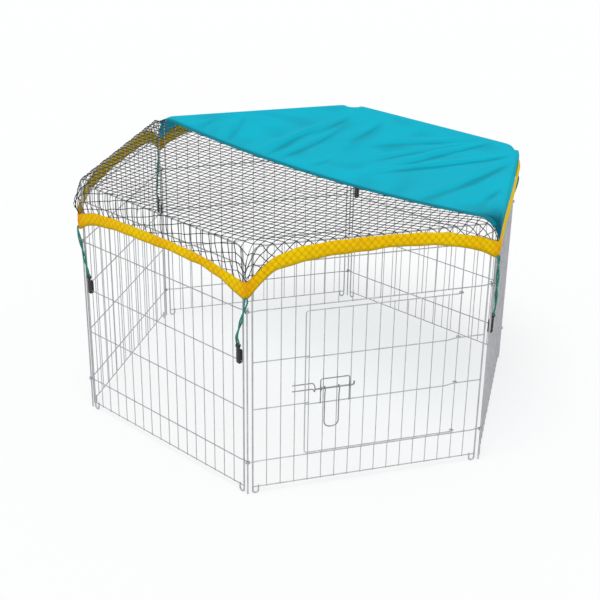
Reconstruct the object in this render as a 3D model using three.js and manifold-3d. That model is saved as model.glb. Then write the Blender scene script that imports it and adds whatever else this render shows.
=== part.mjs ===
// Outdoor rabbit run: six welded wire panels hinged into a hexagon on corner pins, a wire door
// with a sliding bolt in the front panel, and a cover of net and sunshade cloth with a sewn hem,
// held down at every corner by an elastic loop and a plastic hook.
// Millimetres, +Z up, the door facing -Y, the ground at z = 0.
import * as THREE from 'three';
import { mergeVertices } from 'three/addons/utils/BufferGeometryUtils.js';
import Module from 'manifold-3d';

const wasm = await Module();
wasm.setup();

// ---------------------------------------------------------------- driving dimensions

// the ring of panels
const pitch = 605; // from one corner pin to the next
const pinToLeg = 12.5; // corner pin to the middle of a panel's outer leg
const footDrop = 18; // lowest rail above the ground
const footWidth = 18; // across the bend at the bottom of a leg

// the welded grid of a panel
const gridDepth = 2.6; // front to back
const uprightCount = 18; // both outer legs among them
const uprightWidth = 2.2;
const railWidth = 2.8;
const frameWidth = 4; // outer legs and top bar
const railGaps = [71, 142, 124, 131, 111, 47]; // from each rail to the next, lastly the top bar
const topCornerRadius = 25;

// corner hinges
const hingeRails = [1, 4]; // rails whose ends are bent into eyes
const eyeBore = 2.6; // radius
const eyeRadius = 5.6;
const eyeHeight = 3;
const eyeGap = 0.4; // between the two eyes of a pair
const pinRadius = 1.9;
const pinHeadReach = 8;
const pinHeadHeight = 3.6;
const pinGroundGap = 0.5;

// the door
const jambUpright = 4; // upright beside the door's free edge
const hingeUpright = 15; // upright that carries the door
const doorOverlap = 10.5; // door's free edge past the jamb
const doorBottomGap = 9; // door's lowest rail above the panel's second rail
const doorTopGap = 11; // door's top rail below the panel's fifth rail
const doorLoopBore = 2.4; // radius of the loops round the hinge upright
const doorLoopRadius = 6.4;
const doorLoopClear = 10.8; // end of the middle rails to the hinge upright

// keeper, bolt, bracket and handle
const keeperRise = 11; // upper prong above the bolt
const keeperDrop = 4.9; // lower prong below it
const keeperWire = 2.8;
const keeperTail = 7.5; // past the upright before the jamb
const keeperNose = 9.6; // nose past the jamb
const keeperReach = 18.5; // nose out from the panel's middle plane
const boltHeight = 254.5; // above the lowest rail
const boltRadius = 2;
const boltLength = 99;
const boltTipGap = 0.5; // tip to the keeper's nose
const boltEndRise = 9;
const bracketWire = 2.8;
const bracketRise = 23.5; // above the bolt
const bracketSpan = 71.8; // between its legs
const bracketFromTip = 14.9; // left leg past the bolt's tip
const latchEyeRadius = 5.6;
const latchEyeWidth = 3;
const handleWire = 3;
const handleSpan = 35.5;
const handleLength = 107;
const handleFromBracket = 9.5; // handle's left leg past the bracket's left leg

// the cover
const netCord = 3;
const netThickness = 1.6;
const netColumns = 12;
const netRows = 7;
const clothThickness = 1.6;
const coverSag = 27;
const coverGap = 0.7; // above the panels' top bars
const coverEdge = 2.5; // where the top turns down, out from the panel's middle plane
const hemOffset = 7; // hem out from the panel's middle plane
const coverTuck = 3; // how far net and cloth reach down behind the hem
const seamGap = 0.3;
const hemThickness = 2.4;
const hemCornerSpread = 60; // how far along a side the hem is pulled down
const cornerInset = 14; // last station of a side before its corner
// depth of the hem's top edge below the top of the cover, and its width,
// at the middle of each side and at each corner, counted from the front side
const hemSides = [
  { depth: 6, width: 34 },
  { depth: 6, width: 38 },
  { depth: 6, width: 38 },
  { depth: 10, width: 38 },
  { depth: 8, width: 38 },
  { depth: 54, width: 29 },
];
const hemCorners = [
  { depth: 87, width: 45 },
  { depth: 49, width: 43 },
  { depth: 53, width: 42 },
  { depth: 58, width: 42 },
  { depth: 68, width: 42 },
  { depth: 88, width: 40 },
];

// elastic loops and hooks
const cordRadius = 1.5;
const cordLoopWidth = 12;
const cordLoopOut = 8; // strands out from the panel's middle plane
const cordTipOut = 2; // loop's upper end out from the hem's tip
const hookFromPin = 25; // along the panel
const hookWidth = 6;
const hookSlot = 4.4; // across the mouth that holds the rail
const hookShank = 5;
const hookTip = 4;
const hookRise = 40; // eye above the rail
const hookTipRise = 28;
const hookEyeRadius = 5.4;
const hookEyeBore = 3;

const clearance = 0.3;

// ---------------------------------------------------------------- worked out from them

const rad = THREE.MathUtils.degToRad;
const cornerCount = 6;
const apothem = pitch * Math.cos(Math.PI / cornerCount);
const barHeights = railGaps.reduce((heights, gap) => [...heights, heights.at(-1) + gap], [0]);
const railHeights = barHeights.slice(0, -1); // above the lowest rail
const topEdge = barHeights.at(-1) + frameWidth / 2;
const uprightPitch = (pitch - 2 * pinToLeg) / (uprightCount - 1);
const uprightX = Array.from({ length: uprightCount }, (_, i) => pinToLeg + i * uprightPitch);
const halfUpright = (i) => (i === 0 || i === uprightCount - 1 ? frameWidth : uprightWidth) / 2;
const halfBar = (j) => (j === railHeights.length ? frameWidth : railWidth) / 2;

const keeperY = -(gridDepth / 2 + clearance + keeperWire / 2);
const doorY = keeperY - keeperWire / 2 - clearance - gridDepth / 2;
const doorLeft = uprightX[jambUpright] - doorOverlap;
const doorLoopLift = railWidth + clearance; // the middle loops rest on the panel's own rails
const doorRails = [railHeights[1] + doorBottomGap, railHeights[2], railHeights[3],
  railHeights[4] - doorTopGap];
const boltY = doorY - gridDepth / 2 - clearance - latchEyeRadius;
const keeperTop = boltHeight + keeperRise;
const keeperBottom = boltHeight - keeperDrop;
const bracketHeight = boltHeight + bracketRise;
const keeperNoseX = uprightX[jambUpright] + keeperNose;
const boltTipX = keeperNoseX + keeperWire / 2 + boltTipGap;
const bracketX = boltTipX + bracketFromTip;
const handleX = bracketX + handleFromBracket;

// ---------------------------------------------------------------- shapes and solids

const point = (x, y, z) => new THREE.Vector3(x, y, z);

function arc(cx, cy, radius, from, to, steps) {
  return Array.from({ length: steps + 1 }, (_, n) => {
    const angle = from + ((to - from) * n) / steps;
    return new THREE.Vector2(cx + radius * Math.cos(angle), cy + radius * Math.sin(angle));
  });
}

function polygon(points) {
  return new THREE.Shape(points.map(([x, y]) => new THREE.Vector2(x, y)));
}

// an outline drawn in x and z, made a slab of the given depth about y = 0
function slab(shape, depth) {
  const geometry = new THREE.ExtrudeGeometry(shape, { depth, bevelEnabled: false });
  geometry.translate(0, 0, -depth / 2);
  geometry.rotateX(Math.PI / 2);
  return geometry;
}

// an outline drawn in y and z, made a slab of the given width about x = 0
function sideSlab(shape, width) {
  const geometry = new THREE.ExtrudeGeometry(shape, { depth: width, bevelEnabled: false });
  geometry.translate(0, 0, -width / 2);
  geometry.rotateX(Math.PI / 2);
  geometry.rotateZ(Math.PI / 2);
  return geometry;
}

const eyeSides = 6;

// an eye of bent wire about the z axis, its flats square to the panel
function eye(outer, bore, height) {
  const start = Math.PI / eyeSides;
  const full = 2 * Math.PI + start;
  const shape = new THREE.Shape(arc(0, 0, outer, start, full, eyeSides).slice(1));
  shape.holes.push(new THREE.Path(arc(0, 0, bore, start, full, eyeSides).slice(1)));
  const geometry = new THREE.ExtrudeGeometry(shape, { depth: height, bevelEnabled: false });
  geometry.translate(0, 0, -height / 2);
  return geometry;
}

function box(x0, x1, y0, y1, z0, z1) {
  const geometry = new THREE.BoxGeometry(x1 - x0, y1 - y0, z1 - z0);
  geometry.translate((x0 + x1) / 2, (y0 + y1) / 2, (z0 + z1) / 2);
  return geometry;
}

// a rod of eight sides with flats square to the axes, along z
function rod(radius, z0, z1) {
  const sides = 8;
  const geometry = new THREE.CylinderGeometry(radius, radius, z1 - z0, sides);
  geometry.rotateY(Math.PI / sides);
  geometry.rotateX(Math.PI / 2);
  geometry.translate(0, 0, (z0 + z1) / 2);
  return geometry;
}

function toSolid(geometry) {
  const bare = geometry.clone();
  bare.deleteAttribute('normal');
  bare.deleteAttribute('uv');
  const merged = mergeVertices(bare, 1e-4);
  return new wasm.Manifold(new wasm.Mesh({
    numProp: 3,
    vertProperties: new Float32Array(merged.attributes.position.array),
    triVerts: new Uint32Array(merged.index.array),
  }));
}

function toGeometry(solid) {
  const mesh = solid.getMesh();
  const geometry = new THREE.BufferGeometry();
  geometry.setAttribute('position', new THREE.BufferAttribute(mesh.vertProperties, 3));
  geometry.setIndex(new THREE.BufferAttribute(mesh.triVerts, 1));
  geometry.computeVertexNormals();
  return geometry;
}

function join(first, ...others) {
  return toGeometry(others.reduce((sum, other) => sum.add(toSolid(other)), toSolid(first)));
}

function bored(geometry, ...tools) {
  return toGeometry(tools.reduce((rest, tool) => rest.subtract(toSolid(tool)), toSolid(geometry)));
}

function meshOf(vertices, faces) {
  const geometry = new THREE.BufferGeometry();
  geometry.setAttribute('position',
    new THREE.Float32BufferAttribute(vertices.flatMap((v) => v.toArray()), 3));
  geometry.setIndex(faces.flatMap((f) => (f.length === 4 ? [f[0], f[1], f[2], f[0], f[2], f[3]] : f)));
  geometry.computeVertexNormals();
  return geometry;
}

// a closed band or loop: sections of the same number of points, the last joined to the first
function closedLoft(sections) {
  const sides = sections[0].length;
  const faces = [];
  for (let m = 0; m < sections.length; m++) {
    const next = ((m + 1) % sections.length) * sides;
    for (let n = 0; n < sides; n++) {
      const side = (n + 1) % sides;
      faces.push([m * sides + n, next + n, next + side, m * sides + side]);
    }
  }
  return meshOf(sections.flat(), faces);
}

// Wires or cords that cross: each crossing is given by its eight corners, four in front and
// four behind, counted the same way round, or is null. hasAcross and hasUp say which
// neighbours are joined.
function lattice(crossings, hasAcross, hasUp) {
  const vertices = [];
  const faces = [];
  const first = crossings.map((column) => column.map((corners) => {
    if (!corners) return null;
    vertices.push(...corners);
    return vertices.length - 8;
  }));
  const isJoined = (i, j, nextI, nextJ, has) => i >= 0 && j >= 0 && first[i]?.[j] != null
    && first[nextI]?.[nextJ] != null && has(i, j);
  first.forEach((column, i) => column.forEach((base, j) => {
    if (base === null) return;
    const p = (n) => base + n;
    faces.push([p(0), p(1), p(2), p(3)], [p(4), p(7), p(6), p(5)]);
    if (!isJoined(i - 1, j, i, j, hasAcross)) faces.push([p(0), p(3), p(7), p(4)]);
    if (!isJoined(i, j - 1, i, j, hasUp)) faces.push([p(0), p(4), p(5), p(1)]);
    if (isJoined(i, j, i + 1, j, hasAcross)) {
      const q = (n) => first[i + 1][j] + n;
      faces.push([p(1), q(0), q(3), p(2)], [p(5), p(6), q(7), q(4)],
        [p(2), q(3), q(7), p(6)], [p(1), p(5), q(4), q(0)]);
    } else {
      faces.push([p(1), p(5), p(6), p(2)]);
    }
    if (isJoined(i, j, i, j + 1, hasUp)) {
      const q = (n) => first[i][j + 1] + n;
      faces.push([p(3), p(2), q(1), q(0)], [p(7), q(4), q(5), p(6)],
        [p(2), p(6), q(5), q(1)], [p(3), q(0), q(4), p(7)]);
    } else {
      faces.push([p(3), p(2), p(6), p(7)]);
    }
  }));
  return meshOf(vertices, faces);
}

// ---------------------------------------------------------------- materials

const metal = (color) => new THREE.MeshStandardMaterial({ color, metalness: 0.9, roughness: 0.35 });
const soft = (color) => new THREE.MeshStandardMaterial({ color, metalness: 0, roughness: 0.85 });
const galvanised = metal(0xb9bcbe);
const latchSteel = metal(0x8d9092);
const netBlack = soft(0x17181a);
const turquoise = soft(0x00b0c8);
const hemYellow = soft(0xf0c400);
const elasticGreen = soft(0x148268);
const hookPlastic = new THREE.MeshStandardMaterial({ color: 0x141416, roughness: 0.45 });

// ---------------------------------------------------------------- the ring

const run = new THREE.Group();
const ring = new THREE.Group();
ring.position.z = footDrop;
run.add(ring);

const sideNames = ['front', 'front_right', 'back_right', 'back', 'back_left', 'front_left'];
const cornerNames = ['front_left', 'front_right', 'right', 'back_right', 'back_left', 'left'];
const cornerAngle = (k) => rad(-120 + 60 * k);
const corner = (k) => point(pitch * Math.cos(cornerAngle(k)), pitch * Math.sin(cornerAngle(k)), 0);

// side k runs from corner k to corner k + 1: x along it, -y outwards
const sides = sideNames.map((_, k) => {
  const side = new THREE.Group();
  side.position.copy(corner(k));
  side.rotation.z = rad(60 * k);
  ring.add(side);
  return side;
});

function add(parent, name, geometry, material) {
  const mesh = new THREE.Mesh(geometry, material);
  mesh.name = name;
  parent.add(mesh);
  return mesh;
}

// ---------------------------------------------------------------- welded wire panels

const lastUpright = uprightCount - 1;
const lastBar = barHeights.length - 1;
const legOutside = pinToLeg - frameWidth / 2;

// the corners of a crossing of two wires, the four in front first
function crossing(x, z, halfX, halfZ) {
  const half = gridDepth / 2;
  return [-half, half].flatMap((y) => [point(x - halfX, y, z - halfZ), point(x + halfX, y, z - halfZ),
    point(x + halfX, y, z + halfZ), point(x - halfX, y, z + halfZ)]);
}

// the whole width of a grid from one of its bars to another, without its two top corners, which
// the bent wire makes
function stripGeometry(firstBar, endBar) {
  const isCorner = (i, j) => j === lastBar && (i === 0 || i === lastUpright);
  const crossings = uprightX.map((x, i) => barHeights.slice(firstBar, endBar + 1).map((z, n) => {
    const j = firstBar + n;
    return isCorner(i, j) ? null : crossing(x, z, halfUpright(i), halfBar(j));
  }));
  return lattice(crossings, () => true, () => true);
}

const gridGeometry = () => stripGeometry(0, lastBar);

// the wire bent round a top corner, from the sixth rail to the second upright
function topCornerGeometry() {
  const centreX = legOutside + topCornerRadius;
  const centreZ = topEdge - topCornerRadius;
  const inner = topCornerRadius - frameWidth;
  const [low, far] = [railHeights.at(-1), uprightX[1]];
  return slab(new THREE.Shape([
    new THREE.Vector2(legOutside, low), new THREE.Vector2(legOutside + frameWidth, low),
    ...arc(centreX, centreZ, inner, Math.PI, Math.PI / 2, 3),
    new THREE.Vector2(far, topEdge - frameWidth), new THREE.Vector2(far, topEdge),
    ...arc(centreX, centreZ, topCornerRadius, Math.PI / 2, Math.PI, 3),
  ]), gridDepth);
}

// the bend below a leg; an odd number of steps leaves a flat at the bottom to stand on
function footGeometry() {
  const steps = 5;
  const radius = footWidth / 2;
  const centreX = legOutside + radius;
  const centreZ = radius * Math.cos(Math.PI / (2 * steps)) - footDrop;
  const inner = radius - frameWidth;
  return slab(new THREE.Shape([
    new THREE.Vector2(centreX - radius, 0),
    ...arc(centreX, centreZ, radius, Math.PI, 2 * Math.PI, steps),
    new THREE.Vector2(centreX + radius, 0), new THREE.Vector2(centreX + inner, 0),
    ...arc(centreX, centreZ, inner, 2 * Math.PI, Math.PI, 3),
    new THREE.Vector2(centreX - inner, 0),
  ]), gridDepth);
}

function atOtherEnd(geometry) {
  geometry.rotateZ(Math.PI);
  geometry.translate(pitch, 0, 0);
  return geometry;
}

// the bent end of a rail: an eye about the corner pin, and the wire that runs to it
function hingeEye(pinX, height) {
  const ringEye = eye(eyeRadius, eyeBore, eyeHeight);
  ringEye.translate(pinX, 0, height);
  const legX = pinX === 0 ? pinToLeg : pitch - pinToLeg;
  const nearPin = pinX === 0 ? eyeRadius - 1 : pitch - eyeRadius + 1;
  const arm = box(Math.min(legX, nearPin), Math.max(legX, nearPin), -gridDepth / 2, gridDepth / 2,
    height - eyeHeight / 2, height + eyeHeight / 2);
  return [ringEye, arm];
}

const eyeStep = (eyeHeight + eyeGap) / 2; // half the distance between the eyes of a pair

const eyesOnRail = (j) => [
  ...hingeEye(0, railHeights[j] - eyeStep),
  ...hingeEye(pitch, railHeights[j] + eyeStep),
];

function panelGeometry() {
  return join(gridGeometry(), topCornerGeometry(), atOtherEnd(topCornerGeometry()),
    footGeometry(), atOtherEnd(footGeometry()), ...hingeRails.flatMap(eyesOnRail));
}

sideNames.forEach((name, k) => {
  if (k > 0) add(sides[k], `${name}_panel`, panelGeometry(), galvanised);
});

// ---------------------------------------------------------------- front panel

// The front panel's wires stop at the doorway, so it comes in four parts that meet at the rails
// below and above it: a strip of grid under the doorway, one over it and a jamb on each side.
const [sillBar, lintelBar] = hingeRails;

// uprights of a jamb from the sill's rail to the lintel's, with the rails that cross them
function jambGeometry(firstUpright, endUpright) {
  const half = uprightWidth / 2;
  const end = eyeStep + eyeHeight / 2 + clearance + half; // clear of the wires that run to the eyes
  const low = railHeights[sillBar] + end;
  const high = railHeights[lintelBar] - end;
  const heights = [low, ...railHeights.slice(sillBar + 1, lintelBar), high];
  const isRail = (j) => j > 0 && j < heights.length - 1;
  const crossings = uprightX.slice(firstUpright, endUpright).map((x, n) => heights.map((z, j) => (
    crossing(x, z, halfUpright(firstUpright + n), isRail(j) ? railWidth / 2 : half))));
  return lattice(crossings, (_i, j) => isRail(j), () => true);
}

const sill = join(stripGeometry(0, sillBar), footGeometry(), atOtherEnd(footGeometry()),
  ...eyesOnRail(sillBar));
const lintel = join(stripGeometry(lintelBar, lastBar), topCornerGeometry(),
  atOtherEnd(topCornerGeometry()), ...eyesOnRail(lintelBar));
add(sides[0], 'front_panel_sill', sill, galvanised);
add(sides[0], 'front_panel_lintel', lintel, galvanised);
add(sides[0], 'front_panel_left_jamb', jambGeometry(0, jambUpright + 1), galvanised);
add(sides[0], 'front_panel_right_jamb', jambGeometry(hingeUpright, uprightCount), galvanised);

// ---------------------------------------------------------------- corner pins

// a straight rod through four eyes, its bent head lying on the uppermost one, turned inwards
function pinGeometry() {
  const headZ = railHeights[hingeRails[1]] + eyeStep + eyeHeight / 2 + clearance;
  const head = box(-pinHeadReach, 0, -pinRadius, pinRadius, headZ, headZ + pinHeadHeight);
  return join(rod(pinRadius, -footDrop + pinGroundGap, headZ + pinHeadHeight / 2), head);
}

cornerNames.forEach((name, k) => {
  const pin = add(ring, `pin_${name}`, pinGeometry(), galvanised);
  pin.position.copy(corner(k));
  pin.rotation.z = cornerAngle(k);
});

// ---------------------------------------------------------------- door

// Rails run on past the last upright to loops about the hinge upright; the middle two step up,
// so that they pass above the panel's own rails when the door is open.
const doorLoopStart = uprightX[hingeUpright] - doorLoopRadius - 2.8; // where a rail's end starts
const isMiddleRail = (n) => n > 0 && n < doorRails.length - 1;
const doorStub = (x0, x1, z0, z1) => (
  box(x0, x1, doorY - gridDepth / 2, doorY + gridDepth / 2, z0, z1));

function doorGeometry() {
  const hingeX = uprightX[hingeUpright];
  const half = railWidth / 2;
  const wires = [doorLeft, ...uprightX.slice(jambUpright + 1, hingeUpright)];
  const crossings = wires.map((x, i) => doorRails.map((z) => (
    crossing(x, z, i === 0 ? half : uprightWidth / 2, half))));
  const grid = lattice(crossings, () => true, () => true);
  grid.translate(0, doorY, 0);
  const ends = doorRails.flatMap((z, n) => {
    if (!isMiddleRail(n)) return [doorStub(wires.at(-1), doorLoopStart, z - half, z + half)];
    const stepX = hingeX - doorLoopClear;
    const loopZ = z + doorLoopLift;
    return [doorStub(wires.at(-1), stepX, z - half, z + half),
      doorStub(stepX - railWidth, stepX, z - half, loopZ + half),
      doorStub(stepX - railWidth, doorLoopStart, loopZ - half, loopZ + half)];
  });
  return join(grid, ...ends);
}

// the loop at the end of door rail n, with the short straight that carries on from the rail
function doorLoopGeometry(n) {
  const half = railWidth / 2;
  const z = doorRails[n] + (isMiddleRail(n) ? doorLoopLift : 0);
  const loop = eye(doorLoopRadius, doorLoopBore, railWidth);
  loop.translate(uprightX[hingeUpright], 0, z);
  const start = doorLoopStart + clearance;
  return join(loop, doorStub(start, uprightX[hingeUpright], z - half, z + half));
}

add(sides[0], 'door', doorGeometry(), galvanised);
['bottom', 'lower', 'upper', 'top'].forEach((name, n) => {
  add(sides[0], `door_loop_${name}`, doorLoopGeometry(n), galvanised);
});

// ---------------------------------------------------------------- keeper and latch

// two prongs welded to the uprights beside the door, joined by a nose that stands out in front
function keeperGeometry() {
  const half = keeperWire / 2;
  const tail = uprightX[jambUpright - 1] - keeperTail;
  const prong = (z) => box(tail, keeperNoseX + half, keeperY - half, keeperY + half, z - half, z + half);
  const arm = (z) => box(keeperNoseX - half, keeperNoseX + half, -keeperReach - half, keeperY + half,
    z - half, z + half);
  const front = box(keeperNoseX - half, keeperNoseX + half, -keeperReach - half, -keeperReach + half,
    keeperBottom - half, keeperTop + half);
  return join(prong(keeperTop), prong(keeperBottom), arm(keeperTop), arm(keeperBottom), front);
}

// an eye or rod about an axis along x, through the bolt's line
function onBoltLine(geometry, x) {
  geometry.rotateY(Math.PI / 2);
  geometry.translate(x, boltY, boltHeight);
  return geometry;
}

const latchEyeBore = boltRadius + 2 * clearance;

// an upside-down U in front of the door, its feet turned back to the door's second rail
function bracketGeometry() {
  const half = bracketWire / 2;
  const left = bracketX;
  const right = bracketX + bracketSpan;
  const bottom = doorRails[1];
  const hoop = slab(polygon([
    [left - half, bottom - half], [left + half, bottom - half],
    [left + half, bracketHeight - half], [right - half, bracketHeight - half],
    [right - half, bottom - half], [right + half, bottom - half],
    [right + half, bracketHeight + half], [left - half, bracketHeight + half],
  ]), bracketWire);
  hoop.translate(0, boltY, 0);
  const footY = doorY - gridDepth / 2 - clearance;
  const foot = (x) => box(x - half, x + half, boltY, footY, bottom - half, bottom + half);
  const collar = (x) => onBoltLine(eye(latchEyeRadius, boltRadius / 2, latchEyeWidth), x);
  const bore = (x) => onBoltLine(rod(latchEyeBore, -latchEyeWidth, latchEyeWidth), x);
  const body = join(hoop, foot(left), foot(right), collar(left), collar(right));
  return bored(body, bore(left), bore(right));
}

function boltGeometry() {
  const end = boltTipX + boltLength;
  const bar = onBoltLine(rod(boltRadius, -boltLength / 2, boltLength / 2), boltTipX + boltLength / 2);
  const rise = box(end - 2 * boltRadius, end, boltY - boltRadius, boltY + boltRadius, boltHeight,
    boltHeight + boltEndRise);
  return join(bar, rise);
}

// a U that hangs from the bolt by an eye at the top of each leg
function handleGeometry() {
  const half = handleWire / 2;
  const outer = handleSpan / 2 + half;
  const inner = handleSpan / 2 - half;
  const centre = handleX + handleSpan / 2;
  const bendZ = boltHeight - handleLength + outer;
  const u = new THREE.Shape([
    ...arc(centre, bendZ, outer, Math.PI, 2 * Math.PI, 7),
    new THREE.Vector2(centre + outer, boltHeight),
    new THREE.Vector2(centre + inner, boltHeight),
    ...arc(centre, bendZ, inner, 2 * Math.PI, Math.PI, 7),
    new THREE.Vector2(centre - inner, boltHeight),
    new THREE.Vector2(centre - outer, boltHeight),
  ]);
  const loop = slab(u, handleWire);
  loop.translate(0, boltY, 0);
  const legs = [handleX, handleX + handleSpan];
  const collars = legs.map((x) => onBoltLine(eye(latchEyeRadius, boltRadius / 2, latchEyeWidth), x));
  const bores = legs.map((x) => onBoltLine(rod(latchEyeBore, -latchEyeWidth, latchEyeWidth), x));
  return bored(join(loop, ...collars), ...bores);
}

add(sides[0], 'keeper', keeperGeometry(), latchSteel);
add(sides[0], 'latch_bracket', bracketGeometry(), latchSteel);
add(sides[0], 'latch_bolt', boltGeometry(), latchSteel);
add(sides[0], 'latch_handle', handleGeometry(), latchSteel);

// ---------------------------------------------------------------- the cover

const coverZ = topEdge + coverGap + netThickness / 2; // middle of the net where it lies on the bars

// depth and width of the hem at a distance along side k
function hemAt(k, along) {
  const pullStart = Math.exp(-along / hemCornerSpread);
  const pullEnd = Math.exp(-(pitch - along) / hemCornerSpread);
  const middle = hemSides[k];
  const start = hemCorners[k];
  const end = hemCorners[(k + 1) % cornerCount];
  const mix = (key) => middle[key] + (start[key] - middle[key]) * pullStart
    + (end[key] - middle[key]) * pullEnd;
  return { depth: mix('depth'), width: mix('width') };
}

const upwards = point(0, 0, 1);
const sideOutward = (k) => point(Math.cos(rad(60 * k - 90)), Math.sin(rad(60 * k - 90)), 0);
const cornerOutward = (k) => point(Math.cos(cornerAngle(k)), Math.sin(cornerAngle(k)), 0);

// a spot that hangs off side k, or off corner k: its offset out from the panel, its depth below
// the top of the cover, and the direction it faces
function hanging(k, along, offset, depth) {
  const at = point(along, -offset, coverZ - depth).applyAxisAngle(upwards, rad(60 * k))
    .add(corner(k));
  return { at, out: sideOutward(k) };
}

// corner k of a hexagon that stands out from the panels' middle planes by an offset
function outerCorner(k, offset) {
  return cornerOutward(k).multiplyScalar(pitch + offset / Math.cos(Math.PI / cornerCount));
}

function hangingCorner(k, offset, depth) {
  const at = outerCorner(k, offset).add(point(0, 0, coverZ - depth));
  return { at, out: cornerOutward(k) };
}

// the cover sags from its edges to its middle
function sagged(flat) {
  const reach = Math.max(...sideNames.map((_, k) => flat.dot(sideOutward(k))));
  const at = point(flat.x, flat.y, coverZ - coverSag * (1 - Math.min(reach / apothem, 1) ** 2));
  return { at, out: upwards };
}

// Half the cover as a grid of spots, from corner `start` round three sides. Rows run from the
// diagonal seam, row 0, to the far side. The first and last columns and the last row hang
// outside the panels, down to the hem.
function halfCover(start, columns, rows, edgeHalf, thickness) {
  const [a, b, c, d] = [0, 1, 2, 3].map((n) => (start + n) % cornerCount);
  const fromSeam = sideOutward(b);
  const offset = hemOffset - (hemThickness + thickness) / 2 - clearance;
  const hang = (k, along) => hanging(k, along, offset, hemAt(k, along).depth + coverTuck);
  const hangTip = (k) => hangingCorner(k, offset, hemCorners[k].depth + coverTuck);
  const topSpot = (i, j) => {
    const [edgeA, edgeB, edgeC, edgeD] = [a, b, c, d].map((k) => outerCorner(k, coverEdge));
    const seamSide = edgeA.lerp(edgeD, i / columns);
    const farSide = edgeB.lerp(edgeC, i / columns);
    const flat = seamSide.lerp(farSide, j / rows);
    if (j === 0) flat.addScaledVector(fromSeam, edgeHalf + seamGap / 2);
    return sagged(flat);
  };
  const inset = (share) => THREE.MathUtils.clamp(share * pitch, cornerInset, pitch - cornerInset);
  return Array.from({ length: columns + 3 }, (_, m) => {
    const i = m - 1;
    return Array.from({ length: rows + 2 }, (_unused, j) => {
      const isOutside = i < 0 || i > columns;
      if (isOutside && j > rows) return hangTip(i < 0 ? b : c);
      if (i < 0) return hang(a, inset(j / rows));
      if (i > columns) return hang(c, inset(1 - j / rows));
      if (j > rows) return hang(b, inset(i / columns));
      return topSpot(i, j);
    });
  });
}

// Net: a square knot at every spot, and a flat cord from it to each neighbour. A knot on the
// top lies flat; one that hangs stands upright. There is none at the tips.
function netGeometry(grid, width, thickness) {
  const [lastI, lastJ] = [grid.length - 1, grid[0].length - 1];
  const isTip = (i, j) => j === lastJ && (i === 0 || i === lastI);
  const pair = (n, low, high) => {
    if (n < low) return [n, n + 1];
    if (n > high) return [n - 1, n];
    return [Math.max(n - 1, low), Math.min(n + 1, high)];
  };
  const knots = grid.map((column, i) => column.map(({ at, out }, j) => {
    if (isTip(i, j)) return null;
    const [i0, i1] = pair(i, 1, lastI - 1);
    const [j0, j1] = pair(j, 0, lastJ - 1);
    const flatten = (v) => v.addScaledVector(out, -v.dot(out)).normalize();
    const across = flatten(grid[i1][j].at.clone().sub(grid[i0][j].at));
    const along = flatten(grid[i][j1].at.clone().sub(grid[i][j0].at));
    const front = across.clone().cross(along).normalize();
    return [0.5, -0.5].flatMap((level) => [[-0.5, -0.5], [0.5, -0.5], [0.5, 0.5], [-0.5, 0.5]]
      .map(([si, sj]) => at.clone().addScaledVector(front, level * thickness)
        .addScaledVector(across, si * width).addScaledVector(along, sj * width)));
  }));
  return lattice(knots, () => true, () => true);
}

// Cloth: one sheet over the grid, closed round its rim.
function clothGeometry(grid, thickness) {
  const [lastI, lastJ] = [grid.length - 1, grid[0].length - 1];
  const vertices = grid.flat().flatMap(({ at, out }) => [0.5, -0.5]
    .map((level) => at.clone().addScaledVector(out, level * thickness)));
  const id = (i, j, level) => (i * (lastJ + 1) + j) * 2 + level;
  const faces = [];
  for (let i = 0; i < lastI; i++) {
    for (let j = 0; j < lastJ; j++) {
      faces.push([id(i, j, 0), id(i, j + 1, 0), id(i + 1, j + 1, 0), id(i + 1, j, 0)]);
      faces.push([id(i, j, 1), id(i + 1, j, 1), id(i + 1, j + 1, 1), id(i, j + 1, 1)]);
    }
    faces.push([id(i + 1, 0, 1), id(i, 0, 1), id(i, 0, 0), id(i + 1, 0, 0)]);
    faces.push([id(i, lastJ, 1), id(i + 1, lastJ, 1), id(i + 1, lastJ, 0), id(i, lastJ, 0)]);
  }
  for (let j = 0; j < lastJ; j++) {
    faces.push([id(0, j, 1), id(0, j + 1, 1), id(0, j + 1, 0), id(0, j, 0)]);
    faces.push([id(lastI, j + 1, 1), id(lastI, j, 1), id(lastI, j, 0), id(lastI, j + 1, 0)]);
  }
  return meshOf(vertices, faces);
}

const netCorner = 4; // the net starts at the back left corner, the sunshade at the front right
const clothCorner = 1;
const netGrid = halfCover(netCorner, netColumns, netRows, netCord / 2, netThickness);
const clothGrid = halfCover(clothCorner, netColumns, netRows, clothThickness / 2, clothThickness);
add(ring, 'cover_net', netGeometry(netGrid, netCord, netThickness), netBlack);
add(ring, 'sunshade', clothGeometry(clothGrid, clothThickness), turquoise);

// the hem: a band round the whole cover, pulled down at its corners
const hemStations = [cornerInset, 50, 110, 190, pitch / 2];

function hemSection(top, bottom, thickness) {
  return [[top, 0.5], [top, -0.5], [bottom, -0.5], [bottom, 0.5]]
    .map(([edge, side]) => edge.at.clone().addScaledVector(edge.out, side * thickness));
}

function hemSideSection(k, along) {
  const { depth, width } = hemAt(k, along);
  return hemSection(hanging(k, along, hemOffset, depth), hanging(k, along, hemOffset, depth + width),
    hemThickness);
}

function hemCornerSection(k) {
  const { depth, width } = hemCorners[k];
  return hemSection(hangingCorner(k, hemOffset, depth), hangingCorner(k, hemOffset, depth + width),
    hemThickness / Math.cos(Math.PI / cornerCount));
}

const hemSections = sideNames.flatMap((_, k) => [
  hemCornerSection(k),
  ...hemStations.map((along) => hemSideSection(k, along)),
  ...hemStations.slice(0, -1).reverse().map((along) => hemSideSection(k, pitch - along)),
]);
add(ring, 'cover_hem', closedLoft(hemSections), hemYellow);

// ---------------------------------------------------------------- hooks and elastic loops

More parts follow.
